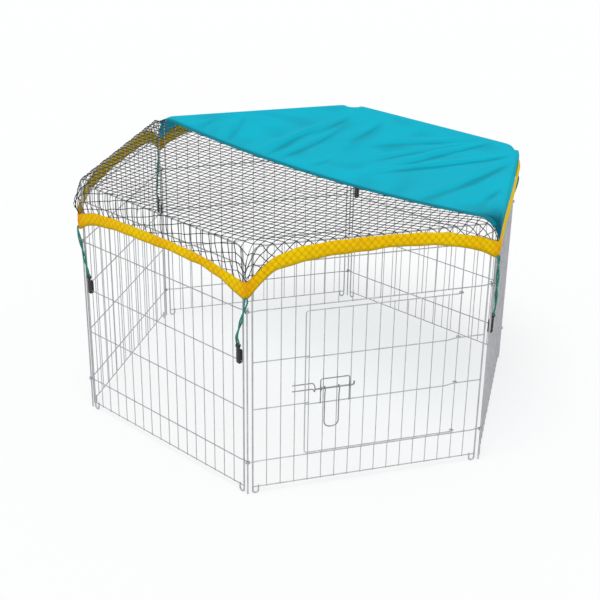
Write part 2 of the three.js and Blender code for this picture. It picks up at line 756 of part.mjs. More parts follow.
// A hook holds the underside of the fourth rail: shank and eye outside, tip inside.
function hookGeometry() {
  const slot = hookSlot / 2;
  const floor = -railWidth / 2 - clearance;
  const shankY = -slot - hookShank / 2;
  const outline = [
    [-slot - hookShank, floor], [-slot, floor - hookShank], [slot, floor - hookShank],
    [slot + hookTip, floor], [slot + hookTip, hookTipRise - hookTip], [slot + hookTip / 2, hookTipRise],
    [slot, hookTipRise - hookTip], [slot, floor], [-slot, floor],
  ].map(([y, z]) => new THREE.Vector2(y, z));
  const sideAngle = Math.asin(hookShank / 2 / hookEyeRadius);
  const head = arc(shankY, hookRise, hookEyeRadius, -Math.PI / 2 + sideAngle,
    1.5 * Math.PI - sideAngle, 8);
  const shape = new THREE.Shape([...outline, ...head]);
  shape.holes.push(new THREE.Path(arc(shankY, hookRise, hookEyeBore, 0, 2 * Math.PI, 8).slice(1)));
  return sideSlab(shape, hookWidth);
}

// each corner's hook hangs on the side before it, 1, or the side after it, 0
const hookOnSideBefore = [1, 0, 0, 1, 0, 0];

function hookPlace(k) {
  const isBefore = hookOnSideBefore[k] === 1;
  const side = isBefore ? (k + cornerCount - 1) % cornerCount : k;
  return { side, along: isBefore ? pitch - hookFromPin : hookFromPin };
}

const loopSides = 5;

// a closed elastic loop from the hem's tip down through the hook's eye
function cordGeometry(k) {
  const { side, along } = hookPlace(k);
  const eyeY = -(hookSlot + hookShank) / 2;
  const seat = hookEyeBore * Math.cos(Math.PI / 8) - cordRadius - clearance;
  const eyeZ = railHeights[3] + hookRise + seat;
  const local = (dx, y, dz) => point(along + dx, y, eyeZ + dz)
    .applyAxisAngle(point(0, 0, 1), rad(60 * side)).add(corner(side));
  const half = cordLoopWidth / 2;
  const { at, out } = hangingCorner(k, hemOffset, hemCorners[k].depth + hemCorners[k].width
    + clearance + cordRadius);
  const tangent = out.clone().applyAxisAngle(upwards, Math.PI / 2);
  const near = (dt, dz) => at.clone().addScaledVector(out, cordTipOut)
    .addScaledVector(tangent, dt).add(point(0, 0, dz));
  const curve = new THREE.CatmullRomCurve3([
    local(0, eyeY, 0), local(hookWidth / 2 + 1, eyeY, 0), local(half, eyeY - 1, half),
    local(half, -cordLoopOut, 3 * half),
    near(0.7 * half, -2 * half), near(half / 2, -half / 3), near(0, 0), near(-half / 2, -half / 3),
    near(-0.7 * half, -2 * half), local(-half, -cordLoopOut, 3 * half),
    local(-half, eyeY - 1, half), local(-hookWidth / 2 - 1, eyeY, 0),
  ], true, 'centripetal');
  const steps = curve.points.length;
  const sections = Array.from({ length: steps }, (_, n) => {
    const centre = curve.getPoint(n / steps);
    const direction = curve.getTangent(n / steps);
    const sideways = out.clone().addScaledVector(direction, -out.dot(direction)).normalize();
    const inPlane = sideways.clone().cross(direction);
    return Array.from({ length: loopSides }, (_unused, m) => {
      const angle = (2 * Math.PI * m) / loopSides;
      return centre.clone().addScaledVector(sideways, cordRadius * Math.cos(angle))
        .addScaledVector(inPlane, cordRadius * Math.sin(angle));
    });
  });
  return closedLoft(sections);
}

cornerNames.forEach((name, k) => {
  const { side, along } = hookPlace(k);
  const hook = add(sides[side], `hook_${name}`, hookGeometry(), hookPlastic);
  hook.position.set(along, 0, railHeights[3]);
  add(ring, `elastic_${name}`, cordGeometry(k), elasticGreen);
});

// ---------------------------------------------------------------- origin

// the origin is the middle of the whole run's footprint, on the ground
run.updateMatrixWorld(true);
const extent = new THREE.Box3().setFromObject(run, true);
const middle = extent.getCenter(point(0, 0, 0));
run.position.set(-middle.x, -middle.y, -extent.min.z);

export default run;
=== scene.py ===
import math

import bmesh
import bpy
import numpy as np
from mathutils import Matrix


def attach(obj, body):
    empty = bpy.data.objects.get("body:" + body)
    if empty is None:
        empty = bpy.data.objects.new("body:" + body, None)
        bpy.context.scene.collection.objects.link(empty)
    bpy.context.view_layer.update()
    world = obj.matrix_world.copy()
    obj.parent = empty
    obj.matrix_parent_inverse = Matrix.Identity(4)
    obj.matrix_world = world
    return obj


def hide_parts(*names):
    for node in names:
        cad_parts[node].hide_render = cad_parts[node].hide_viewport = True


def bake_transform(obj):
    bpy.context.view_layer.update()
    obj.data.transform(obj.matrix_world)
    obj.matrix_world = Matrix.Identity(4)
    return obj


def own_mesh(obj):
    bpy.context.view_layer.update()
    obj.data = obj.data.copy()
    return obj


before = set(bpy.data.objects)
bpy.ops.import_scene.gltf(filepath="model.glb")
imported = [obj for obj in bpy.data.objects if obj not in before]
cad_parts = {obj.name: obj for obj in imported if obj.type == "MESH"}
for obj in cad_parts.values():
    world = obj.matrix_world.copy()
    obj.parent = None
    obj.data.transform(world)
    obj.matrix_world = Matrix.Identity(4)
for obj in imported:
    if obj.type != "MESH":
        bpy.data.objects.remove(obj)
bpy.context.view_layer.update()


# ------------------------------------------------------------------ wire panels
# Six welded grids of galvanised wire stand in a ring. Each has a thick outer wire bent round its
# top corners and down into two feet, thin uprights, thin rails, and two rails whose ends are
# curled into eyes for the corner pins. The front one leaves a doorway between two of its uprights.

SIDE_NAMES = ["front", "front_right", "back_right", "back", "back_left", "front_left"]
PITCH = 605.0  # mm between the pins of one side
APOTHEM = PITCH * math.cos(math.pi / 6)
RING_SHIFT = 3.886  # the ring's centre stands this far behind the origin
GROUND = 18.0  # height of the lowest rail over the ground
STILE = 12.5
UPRIGHT_STEP = (PITCH - 2 * STILE) / 17
RAILS = [0, 71, 213, 337, 468, 579]
TOP_BAR = 626.0
HINGE_RAILS = (71, 468)
FRAME_RADIUS = 2.0
RAIL_RADIUS = 1.4
UPRIGHT_RADIUS = 1.1
EYE_WIRE = 1.5
EYE_REACH = 4.1  # from the pin's axis to the middle of the curled wire
JAMB, HINGE = 4, 15  # the uprights on either side of the doorway
LAST_UPRIGHT = 16  # the last thin one, beside the outer wire
CUT_RAILS = (213, 337)  # the front rails that stop at the doorway
RAIL_Y, UPRIGHT_Y = 0.9, -0.6  # rails lie just behind the outer wire, uprights in front
FOOT_WIDTH, FOOT_DEPTH, FOOT_TIP = 14, 16, 4
HALFWAY = 300  # where the foot's bend hands over to the top's


def upright(number):
    """A thin upright's distance along its side, by its number."""
    return STILE + UPRIGHT_STEP * number


def turned(x, y, z, degrees):
    """Metres in the run of millimetres turned about the ring's centre."""
    turn = math.radians(degrees)
    return np.column_stack([
        math.cos(turn) * x - math.sin(turn) * y,
        math.sin(turn) * x + math.cos(turn) * y + RING_SHIFT,
        z + GROUND,
    ]) / 1000


def place(side, points):
    """Turn millimetres along, behind and above a side's first pin into metres in the run."""
    along, behind, above = np.asarray(points, float).T
    return turned(along - PITCH / 2, behind - APOTHEM, above, 60 * side)


def rounded(points, radius, steps=6):
    """A line through the points with its corners bent to a radius."""
    pts = [np.array(p, float) for p in points]
    path = [pts[0]]
    for before, corner, after in zip(pts, pts[1:], pts[2:]):
        back, ahead = before - corner, after - corner
        reach_back, reach_ahead = np.linalg.norm(back), np.linalg.norm(ahead)
        back, ahead = back / reach_back, ahead / reach_ahead
        half = math.acos(float(np.clip(back @ ahead, -1, 1))) / 2
        cut = min(radius / math.tan(half), 0.49 * reach_back, 0.49 * reach_ahead)
        first, last = corner + back * cut, corner + ahead * cut
        middle = corner + (back + ahead) / np.linalg.norm(back + ahead) * (cut / math.cos(half))
        bend = cut * math.tan(half)
        for share in np.linspace(0, 1, steps + 1):
            ray = (1 - share) * first + share * last - middle
            path.append(middle + ray / np.linalg.norm(ray) * bend)
    path.append(pts[-1])
    return np.array(path)


def node(tree, kind, inputs=None, **settings):
    """A new node. Each input is given a value, or an output to be linked to."""
    made = tree.nodes.new(kind)
    for key, value in settings.items():
        setattr(made, key, value)
    for key, value in (inputs or {}).items():
        if isinstance(value, bpy.types.NodeSocket):
            tree.links.new(value, made.inputs[key])
        else:
            made.inputs[key].default_value = value
    return made


def new_tree(name, kind, inputs, outputs):
    """An empty tree, with the nodes for its named inputs and outputs."""
    tree = bpy.data.node_groups.new(name, kind)
    for way, sockets in (("INPUT", inputs), ("OUTPUT", outputs)):
        for label, socket in sockets.items():
            tree.interface.new_socket(label, in_out=way, socket_type="NodeSocket" + socket)
    return tree, node(tree, "NodeGroupInput"), node(tree, "NodeGroupOutput")


def mottle_group():
    """Soft patches of two sizes, as zinc, plastic and dyed thread have."""
    labels = ("Coarse scale", "Fine scale", "Low", "High")
    tree, start, end = new_tree("mottle", "ShaderNodeTree", dict.fromkeys(labels, "Float"),
                                {"Value": "Float", "Grain": "Float"})
    where = node(tree, "ShaderNodeTexCoord").outputs["Object"]
    coarse = node(tree, "ShaderNodeTexNoise", {
        "Vector": where, "Scale": start.outputs["Coarse scale"], "Detail": 3.0})
    fine = node(tree, "ShaderNodeTexNoise", {
        "Vector": where, "Scale": start.outputs["Fine scale"], "Detail": 4.0, "Roughness": 0.65})
    faint = node(tree, "ShaderNodeMath", {0: fine.outputs["Fac"], 1: 0.5}, operation="MULTIPLY")
    total = node(tree, "ShaderNodeMath", {0: coarse.outputs["Fac"], 1: faint.outputs[0]},
                 operation="ADD")
    spread = node(tree, "ShaderNodeMapRange", {
        "Value": total.outputs[0], "From Min": 0.45, "From Max": 1.05,
        "To Min": start.outputs["Low"], "To Max": start.outputs["High"]})
    tree.links.new(spread.outputs[0], end.inputs["Value"])
    tree.links.new(fine.outputs["Fac"], end.inputs["Grain"])
    return tree


MOTTLE = mottle_group()


def mottled(name, dark, light, roughness, metallic=0.0, coarse=40, fine=400, bump=0.15,
            distance=0.0002, specular=0.5, extra=None):
    """A finish whose colour wanders between two tones, with a faint grain on its surface."""
    material = bpy.data.materials.new(name)
    material.use_nodes = True
    tree = material.node_tree
    shader = tree.nodes["Principled BSDF"]
    shader.inputs["Metallic"].default_value = metallic
    shader.inputs["Specular IOR Level"].default_value = specular
    patches = node(tree, "ShaderNodeGroup", {
        "Coarse scale": coarse, "Fine scale": fine, "Low": 0, "High": 1}, node_tree=MOTTLE)
    tone = node(tree, "ShaderNodeMix", {
        "Factor": patches.outputs["Value"], "A": (*dark, 1), "B": (*light, 1)}, data_type="RGBA")
    gloss = node(tree, "ShaderNodeMapRange", {
        "Value": patches.outputs["Value"], "To Min": roughness[0], "To Max": roughness[1]})
    relief = node(tree, "ShaderNodeBump", {
        "Height": patches.outputs["Grain"], "Strength": bump, "Distance": distance})
    tree.links.new(gloss.outputs[0], shader.inputs["Roughness"])
    tree.links.new(tone.outputs["Result"], shader.inputs["Base Color"])
    tree.links.new(relief.outputs[0], shader.inputs["Normal"])
    if extra:
        extra(tree, shader, tone, relief)
    return material


galvanised = mottled("galvanised_wire", (0.36, 0.365, 0.38), (0.56, 0.565, 0.58), (0.32, 0.50),
                     metallic=0.75, coarse=55, fine=900, bump=0.25, distance=0.0001)


def shape_tree(name, **sockets):
    """An empty tree that takes a mesh and the named inputs, and gives a mesh."""
    mesh = {"Geometry": "Geometry"}
    return new_tree(name, "GeometryNodeTree", {**mesh, **sockets}, mesh)


def finish_tree(tree, start, end, made):
    """Realize what the tree made, smooth it and give it its finish."""
    whole = node(tree, "GeometryNodeRealizeInstances", {0: made})
    smooth = node(tree, "GeometryNodeSetShadeSmooth", {0: whole.outputs[0]})
    finish = node(tree, "GeometryNodeSetMaterial", {
        0: smooth.outputs[0], "Material": start.outputs["Finish"]})
    tree.links.new(finish.outputs[0], end.inputs[0])


def swept(tree, start, line):
    """A round wire along a line, with the tree's radius and number of sides."""
    ring = node(tree, "GeometryNodeCurvePrimitiveCircle", {
        "Radius": start.outputs["Radius"], "Resolution": start.outputs["Sides"]}, mode="RADIUS")
    wire = node(tree, "GeometryNodeCurveToMesh", {
        "Curve": line, "Profile Curve": ring.outputs[0], "Fill Caps": True})
    return wire.outputs[0]


def copied(tree, points, instance):
    """A copy of the instance on every point."""
    copies = node(tree, "GeometryNodeInstanceOnPoints", {"Points": points, "Instance": instance})
    return copies.outputs[0]


def bent_wire_tree():
    tree, start, end = shape_tree("bent wire", Radius="Float", Sides="Int", Finish="Material")
    line = node(tree, "GeometryNodeMeshToCurve", {0: start.outputs["Geometry"]})
    finish_tree(tree, start, end, swept(tree, start, line.outputs[0]))
    return tree


def wire_row_tree():
    tree, start, end = shape_tree("wire row", Count="Int", First="Vector", Step="Vector",
                                  Length="Float", Radius="Float", Sides="Int", Finish="Material")
    stands = node(tree, "GeometryNodeMeshLine", {
        "Count": start.outputs["Count"], "Start Location": start.outputs["First"],
        "Offset": start.outputs["Step"]}, mode="OFFSET")
    top = node(tree, "ShaderNodeCombineXYZ", {"Z": start.outputs["Length"]})
    line = node(tree, "GeometryNodeCurvePrimitiveLine", {"End": top.outputs[0]})
    wire = swept(tree, start, line.outputs[0])
    finish_tree(tree, start, end, copied(tree, stands.outputs[0], wire))
    return tree


BENT_WIRE = bent_wire_tree()
WIRE_ROW = wire_row_tree()


def grown(tree, settings, points=((0, 0, 0),), edges=()):
    """The plain mesh that a tree makes on a mesh of points and edges."""
    lines = bpy.data.meshes.new("lines")
    lines.from_pydata([tuple(p) for p in points], [tuple(e) for e in edges], [])
    thing = bpy.data.objects.new("lines", lines)
    bpy.context.scene.collection.objects.link(thing)
    modifier = thing.modifiers.new("shape", "NODES")
    modifier.node_group = tree
    for item in tree.interface.items_tree:
        if item.in_out == "INPUT" and item.name in settings:
            modifier[item.identifier] = settings[item.name]
    depsgraph = bpy.context.evaluated_depsgraph_get()
    mesh = bpy.data.meshes.new_from_object(thing.evaluated_get(depsgraph))
    bpy.data.objects.remove(thing)
    bpy.data.meshes.remove(lines)
    return mesh


def bent(points, edges, radius, sides, finish):
    """Round wires along edges between points in metres."""
    return grown(BENT_WIRE, {"Radius": radius / 1000, "Sides": sides, "Finish": finish},
                 points, edges)


def wires(side, paths, radius, finish, sides=8):
    """Round wires of one radius along paths in a side's own millimetres."""
    points, edges = [], []
    for path in paths:
        first = len(points)
        points.extend(place(side, path))
        edges.extend((first + i, first + i + 1) for i in range(len(path) - 1))
    return bent(points, edges, radius, sides, finish)


def row(side, first, last, bottom, top, y, finish, radius=UPRIGHT_RADIUS):
    """A side's uprights from one number to another."""
    ends = place(side, [[upright(first), y, bottom], [upright(first + 1), y, bottom]])
    return grown(WIRE_ROW, {
        "Count": last - first + 1, "First": tuple(ends[0]), "Step": tuple(ends[1] - ends[0]),
        "Length": (top - bottom) / 1000, "Radius": radius / 1000, "Sides": 8, "Finish": finish})


def added(name, mesh):
    """One object at the origin."""
    thing = bpy.data.objects.new(name, mesh)
    bpy.context.scene.collection.objects.link(thing)
    return thing


def piece(name, meshes, finish):
    """One object of several meshes."""
    whole = bmesh.new()
    for part in meshes:
        whole.from_mesh(part)
    mesh = bpy.data.meshes.new(name)
    whole.to_mesh(mesh)
    whole.free()
    mesh.materials.append(finish)
    for part in meshes:
        bpy.data.meshes.remove(part)
    return added(name, mesh)


def arc(reach, angles):
    """Flat points on a circle, at whole angles in degrees."""
    return [(reach * math.cos(math.radians(a)), reach * math.sin(math.radians(a)))
            for a in angles]


def outer_wire():
    """Up from a foot, round the wider top corners and down to the other foot."""
    plain = [(STILE + FOOT_WIDTH, 0, FOOT_TIP), (STILE + FOOT_WIDTH, 0, -FOOT_DEPTH),
             (STILE, 0, -FOOT_DEPTH), (STILE, 0, HALFWAY)]
    over = [(STILE, 0, HALFWAY), (STILE, 0, TOP_BAR), (PITCH - STILE, 0, TOP_BAR),
            (PITCH - STILE, 0, HALFWAY)]
    foot = rounded(plain, 7, 8)
    mirror = foot[::-1] * (-1, 1, 1) + (PITCH, 0, 0)
    return np.vstack([foot[:-1], rounded(over, 23, 10), mirror[1:]])


def curl(at_end, height):
    """A rail's end curled round the pin, as points from its tip."""
    turn = arc(EYE_REACH, range(0, -271, -18))
    lead = [(2.2, 3.75), (5.0, 2.6), (8.5, 1.4), (STILE + 1, RAIL_Y)]
    step = 1.7 if at_end else -1.7
    points = np.array([(x, y, height + step) for x, y in turn + lead]
                      + [(STILE + 12, RAIL_Y, height)])
    return points * (-1, 1, 1) + (PITCH, 0, 0) if at_end else points


def panel(side):
    """All the wires of one side, as one piece."""
    paths = {EYE_WIRE: [], RAIL_RADIUS: []}
    for height in RAILS:
        ends = [(STILE - 1.2, PITCH - STILE + 1.2)]
        if height in HINGE_RAILS:
            eyes = np.vstack([curl(False, height), curl(True, height)[::-1]])
            paths[EYE_WIRE].append(eyes)
            continue
        if side == 0 and height in CUT_RAILS:
            ends = [(ends[0][0], upright(JAMB) + 2), (upright(HINGE) - 2, ends[0][1])]
        paths[RAIL_RADIUS] += [np.array([(a, RAIL_Y, height), (b, RAIL_Y, height)])
                               for a, b in ends]
    meshes = [wires(side, [outer_wire()], FRAME_RADIUS, galvanised, 10)]
    meshes += [wires(side, lines, radius, galvanised) for radius, lines in paths.items()]
    foot, head = -1.5, TOP_BAR + 1
    rows = [(1, LAST_UPRIGHT, foot, head)]
    if side == 0:
        rows = [(1, JAMB, foot, head), (HINGE, LAST_UPRIGHT, foot, head),
                (JAMB + 1, HINGE - 1, foot, 72.5), (JAMB + 1, HINGE - 1, 466.5, head)]
    meshes += [row(side, *span, UPRIGHT_Y, galvanised) for span in rows]
    thing = piece(f"wires_{SIDE_NAMES[side]}", meshes, galvanised)
    if side == 0:
        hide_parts("front_panel_sill", "front_panel_lintel", "front_panel_left_jamb",
                    "front_panel_right_jamb")
    else:
        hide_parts(f"{SIDE_NAMES[side]}_panel")
    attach(thing, f"{SIDE_NAMES[side]}_panel")


for side in range(6):
    panel(side)


# ------------------------------------------------------------------ corner pins
# A long galvanised wire drops through the four eyes at each corner and into the grass. Its top
# is bent over inwards, so that it can be pulled out again.

PIN_RADIUS = 1.9
PIN_TIP, PIN_HEAD = -17, 473.2
CORNERS = ["front_left", "front_right", "right", "back_right", "back_left", "left"]
PIN_BODIES = ["front_panel", "front_panel", "front_right_panel", "back_right_panel",
              "back_left_panel", "front_left_panel"]


def corner_frame(corner, points):
    """Metres in the run of points given outwards, sideways and above a corner's pin."""
    outwards, sideways, above = np.asarray(points, float).T
    return turned(outwards + PITCH, sideways, above, 60 * corner - 120)


for corner, name in enumerate(CORNERS):
    path = rounded([(0, 0, PIN_TIP), (0, 0, PIN_HEAD), (-8, 0, PIN_HEAD)], 3.2)
    ends = corner_frame(corner, path)
    rod = bent(ends, [(i, i + 1) for i in range(len(ends) - 1)], PIN_RADIUS, 12, galvanised)
    pin = piece(f"pin_wire_{name}", [rod], galvanised)
    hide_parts(f"pin_{name}")
    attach(pin, PIN_BODIES[corner])


# ------------------------------------------------------------------ door
# A smaller welded grid stands just in front of the doorway. One wire makes its top, free edge
# and bottom, and its rails run on into loops about the panel's upright, which is the hinge.

DOOR_Y = -6.0
DOOR_LEFT = 138.5
DOOR_RAILS = (80, 213, 337, 457)
LOOP_REACH = 4.4
LOOP_LIFT = 3.1  # the middle loops sit above the panel's own rails


def hinge_loop(height):
    """From the loop's tip round the hinge upright to the door's plane."""
    middle = upright(HINGE)
    turn = [(middle + x, y, height) for x, y in arc(LOOP_REACH, range(180, -91, -18))]
    return turn + [(middle - 3, -4.6, height), (middle - 8, -5.6, height)]


bottom, lower, upper, top = DOOR_RAILS
edge = np.vstack([
    hinge_loop(bottom),
    rounded([(upright(HINGE) - 13, DOOR_Y, bottom), (DOOR_LEFT, DOOR_Y, bottom),
             (DOOR_LEFT, DOOR_Y, top), (upright(HINGE) - 13, DOOR_Y, top)], 7),
    hinge_loop(top)[::-1],
])
middles = [np.vstack([
    [(DOOR_LEFT - 1, DOOR_Y, height), (upright(HINGE) - 27, DOOR_Y, height)],
    [(upright(HINGE) - 13, DOOR_Y, height + LOOP_LIFT)],
    hinge_loop(height + LOOP_LIFT)[::-1],
]) for height in (lower, upper)]
door = piece("door_wires", [
    wires(0, [edge, *middles], RAIL_RADIUS, galvanised),
    row(0, JAMB + 1, HINGE - 1, bottom - 1.5, top + 1.5, DOOR_Y - 0.7, galvanised),
], galvanised)
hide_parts("door", "door_loop_bottom", "door_loop_lower", "door_loop_upper",
            "door_loop_top")
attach(door, "door")


# ------------------------------------------------------------------ latch
# Bright bent wire: a staple on the jamb, a hoop on the door with two collars, a bolt that slides
# through the collars into the staple, and a long U that hangs on the bolt as its handle.

latch_steel = mottled("latch_steel", (0.20, 0.205, 0.21), (0.36, 0.365, 0.37), (0.25, 0.42),
                      metallic=0.85, coarse=90, fine=1200, bump=0.2, distance=0.0001)
BOLT_Y, BOLT_Z = -13.2, 254.5
LATCH_RADIUS = 1.4
BRACKET_X = (175.4, 247.2)
HANDLE_X = (184.9, 220.4)


def around_bolt(x, reach, first, last, steps=16):
    """Part of a ring about the bolt, by angle from straight up towards the front."""
    return [(x, BOLT_Y - reach * math.sin(math.radians(a)),
             BOLT_Z + reach * math.cos(math.radians(a))) for a in np.linspace(first, last, steps)]


STAPLE_X, STAPLE_Y, STAPLE_Z = (107.5, 158.6), (-3, -18.5), (265.5, 249.6)
staple = rounded([
    (STAPLE_X[0], STAPLE_Y[0], STAPLE_Z[0]), (STAPLE_X[1], STAPLE_Y[0], STAPLE_Z[0]),
    (STAPLE_X[1], STAPLE_Y[1], STAPLE_Z[0]), (STAPLE_X[1], STAPLE_Y[1], STAPLE_Z[1]),
    (STAPLE_X[1], STAPLE_Y[0], STAPLE_Z[1]), (STAPLE_X[0], STAPLE_Y[0], STAPLE_Z[1])], 3.5)
keeper = piece("keeper_wire", [wires(0, [staple], LATCH_RADIUS, latch_steel, 10)],
               latch_steel)
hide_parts("keeper")
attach(keeper, "front_panel")

HOOP_Y, HOOP_TOP, HOOP_FOOT = -10.0, 278, 213
hoop_side = [(-6.6, HOOP_FOOT), (HOOP_Y, HOOP_FOOT + 0.5), (HOOP_Y, HOOP_TOP)]
hoop = rounded([(BRACKET_X[0], *yz) for yz in hoop_side]
               + [(BRACKET_X[1], *yz) for yz in hoop_side[::-1]], 5)
collars = [np.array(around_bolt(x, 4.2, 0, 340, 20)) for x in BRACKET_X]
bracket = piece("latch_hoop", [wires(0, [hoop, *collars], LATCH_RADIUS, latch_steel, 10)],
                latch_steel)
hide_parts("latch_bracket")
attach(bracket, "door")

BAR_X, BAR_TURNED_UP = (160.5, 257.5), 263.3
bar = rounded([(BAR_X[0], BOLT_Y, BOLT_Z), (BAR_X[1], BOLT_Y, BOLT_Z),
               (BAR_X[1], BOLT_Y, BAR_TURNED_UP)], 3.5)
bolt = piece("latch_bar", [wires(0, [bar], 2.0, latch_steel, 12)], latch_steel)
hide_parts("latch_bolt")
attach(bolt, "latch_bolt")

legs = [around_bolt(x, 3.8, -150, 95, 14) + [(x, BOLT_Y - 3.4, BOLT_Z - 5),
                                            (x, BOLT_Y - 1.6, BOLT_Z - 12)] for x in HANDLE_X]
HANDLE_BOTTOM = 149
sweep = rounded([
    (HANDLE_X[0], BOLT_Y, BOLT_Z - 22), (HANDLE_X[0], BOLT_Y, HANDLE_BOTTOM),
    (HANDLE_X[1], BOLT_Y, HANDLE_BOTTOM), (HANDLE_X[1], BOLT_Y, BOLT_Z - 22)], 15, 10)
handle_path = np.vstack([legs[0], sweep, legs[1][::-1]])
handle = piece("latch_pull", [wires(0, [handle_path], EYE_WIRE, latch_steel, 10)],
               latch_steel)
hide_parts("latch_handle")
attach(handle, "latch_handle")


# ------------------------------------------------------------------ hem
# A wide yellow tape, folded double over the edge of the cover and stitched, hangs outside the top
# of the panels. It is drawn down at each corner, where the elastics pull on it.

COVER_TOP = 629.5
HEM_OFFSET = 6.6
HEM_STEP = 5.0
HEM_COLUMNS = int(PITCH / HEM_STEP)
CORNER_REACH = 50.0  # the tape on either side of a corner that bends with it
PULL_REACH = 48  # how far along a side the pull of its corner is felt


def spaced(controls):
    """Heights of the tape's two edges at every column, from a few along the side."""
    share, upper_edge, lower_edge = (np.array(c, float) for c in zip(*controls))
    at = np.arange(HEM_COLUMNS) / HEM_COLUMNS
    return np.interp(at, share, upper_edge), np.interp(at, share, lower_edge)


def drawn(middle, first, last):
    """A side's hem that is pulled down at its two ends, all as (top, bottom) heights."""
    controls = []
    for share in (0, .03, .06, .1, .16, .25, .38, .5, .62, .75, .84, .9, .94, .97, 1):
        near = math.exp(-share * PITCH / PULL_REACH)
        far = math.exp(-(1 - share) * PITCH / PULL_REACH)
        controls.append([share] + [m + (a - m) * near + (b - m) * far
                                   for m, a, b in zip(middle, first, last)])
    return spaced(controls)


HEM_FRONT = spaced([
    (0, 541, 495), (.05, 572, 532), (.08, 588, 552), (.11, 600, 567), (.19, 617, 577),
    (.31, 624, 587), (.42, 626, 591), (.55, 626, 594), (.66, 624, 592), (.78, 618, 584),
    (.88, 604, 572), (.94, 595, 557), (1, 579, 536)])
HEM_FRONT_LEFT = spaced([
    (0, 540, 500), (.05, 553, 516), (.12, 565, 533), (.23, 571, 540), (.42, 573, 545),
    (.6, 573, 547), (.75, 569, 543), (.87, 558, 530), (.94, 548, 510), (1, 541, 495)])
HEM_SIDES = [
    HEM_FRONT, drawn((624, 586), (579, 536), (576, 534)), drawn((624, 586), (576, 534), (572, 529)),
    drawn((620, 582), (572, 529), (561, 519)), drawn((621, 584), (561, 519), (540, 500)),
    HEM_FRONT_LEFT]


def eased(values, reach=1.6):
    """A closed run of values with its kinks softened."""
    spread = np.exp(-0.5 * (np.arange(-6, 7) / reach) ** 2)
    spread /= spread.sum()
    return sum(w * np.roll(values, n - 6) for n, w in enumerate(spread))


HEM_TOP = eased(np.concatenate([side[0] for side in HEM_SIDES]))
HEM_BOTTOM = eased(np.concatenate([side[1] for side in HEM_SIDES]))


def hem_edges(side, along):
    """Heights of the tape's upper and lower edges."""
    at = (side + np.asarray(along) / PITCH) * HEM_COLUMNS
    period = 6 * HEM_COLUMNS
    steps = np.arange(period)
    return (np.interp(at, steps, HEM_TOP, period=period),
            np.interp(at, steps, HEM_BOTTOM, period=period))


BOW = [1.5, 7.0, 4.0, 3.0, 3.0, 4.0]  # how far each side's tape stands out at its middle


def bowed(side, along):
    """How far the tape stands out from its side."""
    share = np.clip(np.asarray(along) / PITCH, 0, 1)
    return BOW[side] * np.sin(math.pi * share) ** 0.8


def hung(side, along, offset, height):
    """Points outside a side by an offset, drawn round softly at its corners."""
    along, offset, height = np.broadcast_arrays(along, offset, height)
    widen = 1 + 2 * offset * math.tan(math.pi / 6) / PITCH
    x = PITCH / 2 + (along - PITCH / 2) * widen
    near = np.clip(1 - np.minimum(along, PITCH - along) / 12, 0, 1) ** 2
    pull = np.sign(PITCH / 2 - along) * near * 0.9
    return place(side, np.column_stack([x + pull, -offset + near * 1.6, height]))


def weave_group():
    """The over-and-under of a plain woven cloth, read from its flat coordinates."""
    tree, start, end = new_tree("plain weave", "ShaderNodeTree", {"Threads per metre": "Float"},
                                {"Height": "Float"})
    where = node(tree, "ShaderNodeUVMap", uv_map="flat").outputs[0]
    turns = node(tree, "ShaderNodeMath", {0: start.outputs[0], 1: 0.05}, operation="MULTIPLY")
    warp, weft = [
        node(tree, "ShaderNodeTexWave", {"Vector": where, "Scale": turns.outputs[0],
                                         "Distortion": 0.6, "Detail": 1.0},
             bands_direction=direction, wave_profile="SIN").outputs["Fac"]
        for direction in ("X", "Y")]
    both = node(tree, "ShaderNodeMath", {0: warp, 1: weft}, operation="MULTIPLY")
    tree.links.new(both.outputs[0], end.inputs[0])
    return tree


WEAVE = weave_group()


def cloth(name, dark, light, roughness, threads, coarse, patch=None):
    """A woven finish: two tones in soft patches and a thread relief."""
    def woven(tree, shader, tone, relief):
        thread = node(tree, "ShaderNodeGroup", {0: threads}, node_tree=WEAVE)
        tree.links.new(thread.outputs[0], relief.inputs["Height"])
        if patch:
            tree.links.new(patch(tree, tone.outputs["Result"]), shader.inputs["Base Color"])
    return mottled(name, dark, light, roughness, coarse=coarse, fine=220, bump=0.35,
                   distance=0.0003, specular=0.1, extra=woven)


def tinted(tree, colour, factor, shade):
    """A colour drawn towards a shade by a factor."""
    return node(tree, "ShaderNodeMix", {"Factor": factor, "A": colour, "B": (*shade, 1)},
                data_type="RGBA").outputs["Result"]


def marks(tree):
    """The three shades that a cloth's points carry."""
    colour = node(tree, "ShaderNodeAttribute", attribute_name="shade").outputs["Color"]
    return node(tree, "ShaderNodeSeparateColor", {0: colour}).outputs


def hem_shades(tree, colour):
    """Orange near the corners and in patches, olive painted shade along the lower edge and inside,
    and brown painted shade in the stitched grooves.
    """
    channels = marks(tree)
    for channel, shade in (("Red", (0.84, 0.36, 0.0)), ("Green", (0.30, 0.25, 0.0)),
                           ("Blue", (0.52, 0.24, 0.0))):
        colour = tinted(tree, colour, channels[channel], shade)
    return colour


hem_cloth = cloth("hem_tape", (0.88, 0.56, 0.0), (1.0, 0.78, 0.0), (0.75, 0.9), 700, 60,
                  patch=hem_shades)
ACROSS = 12  # spots over the outer face of the tape
CELL = 17.0  # mm between the crossing rows of stitches
ORANGE_SHARE = [0.55, 0.25, 0.3, 0.3, 0.35, 0.75]  # how far each side's tape goes to orange


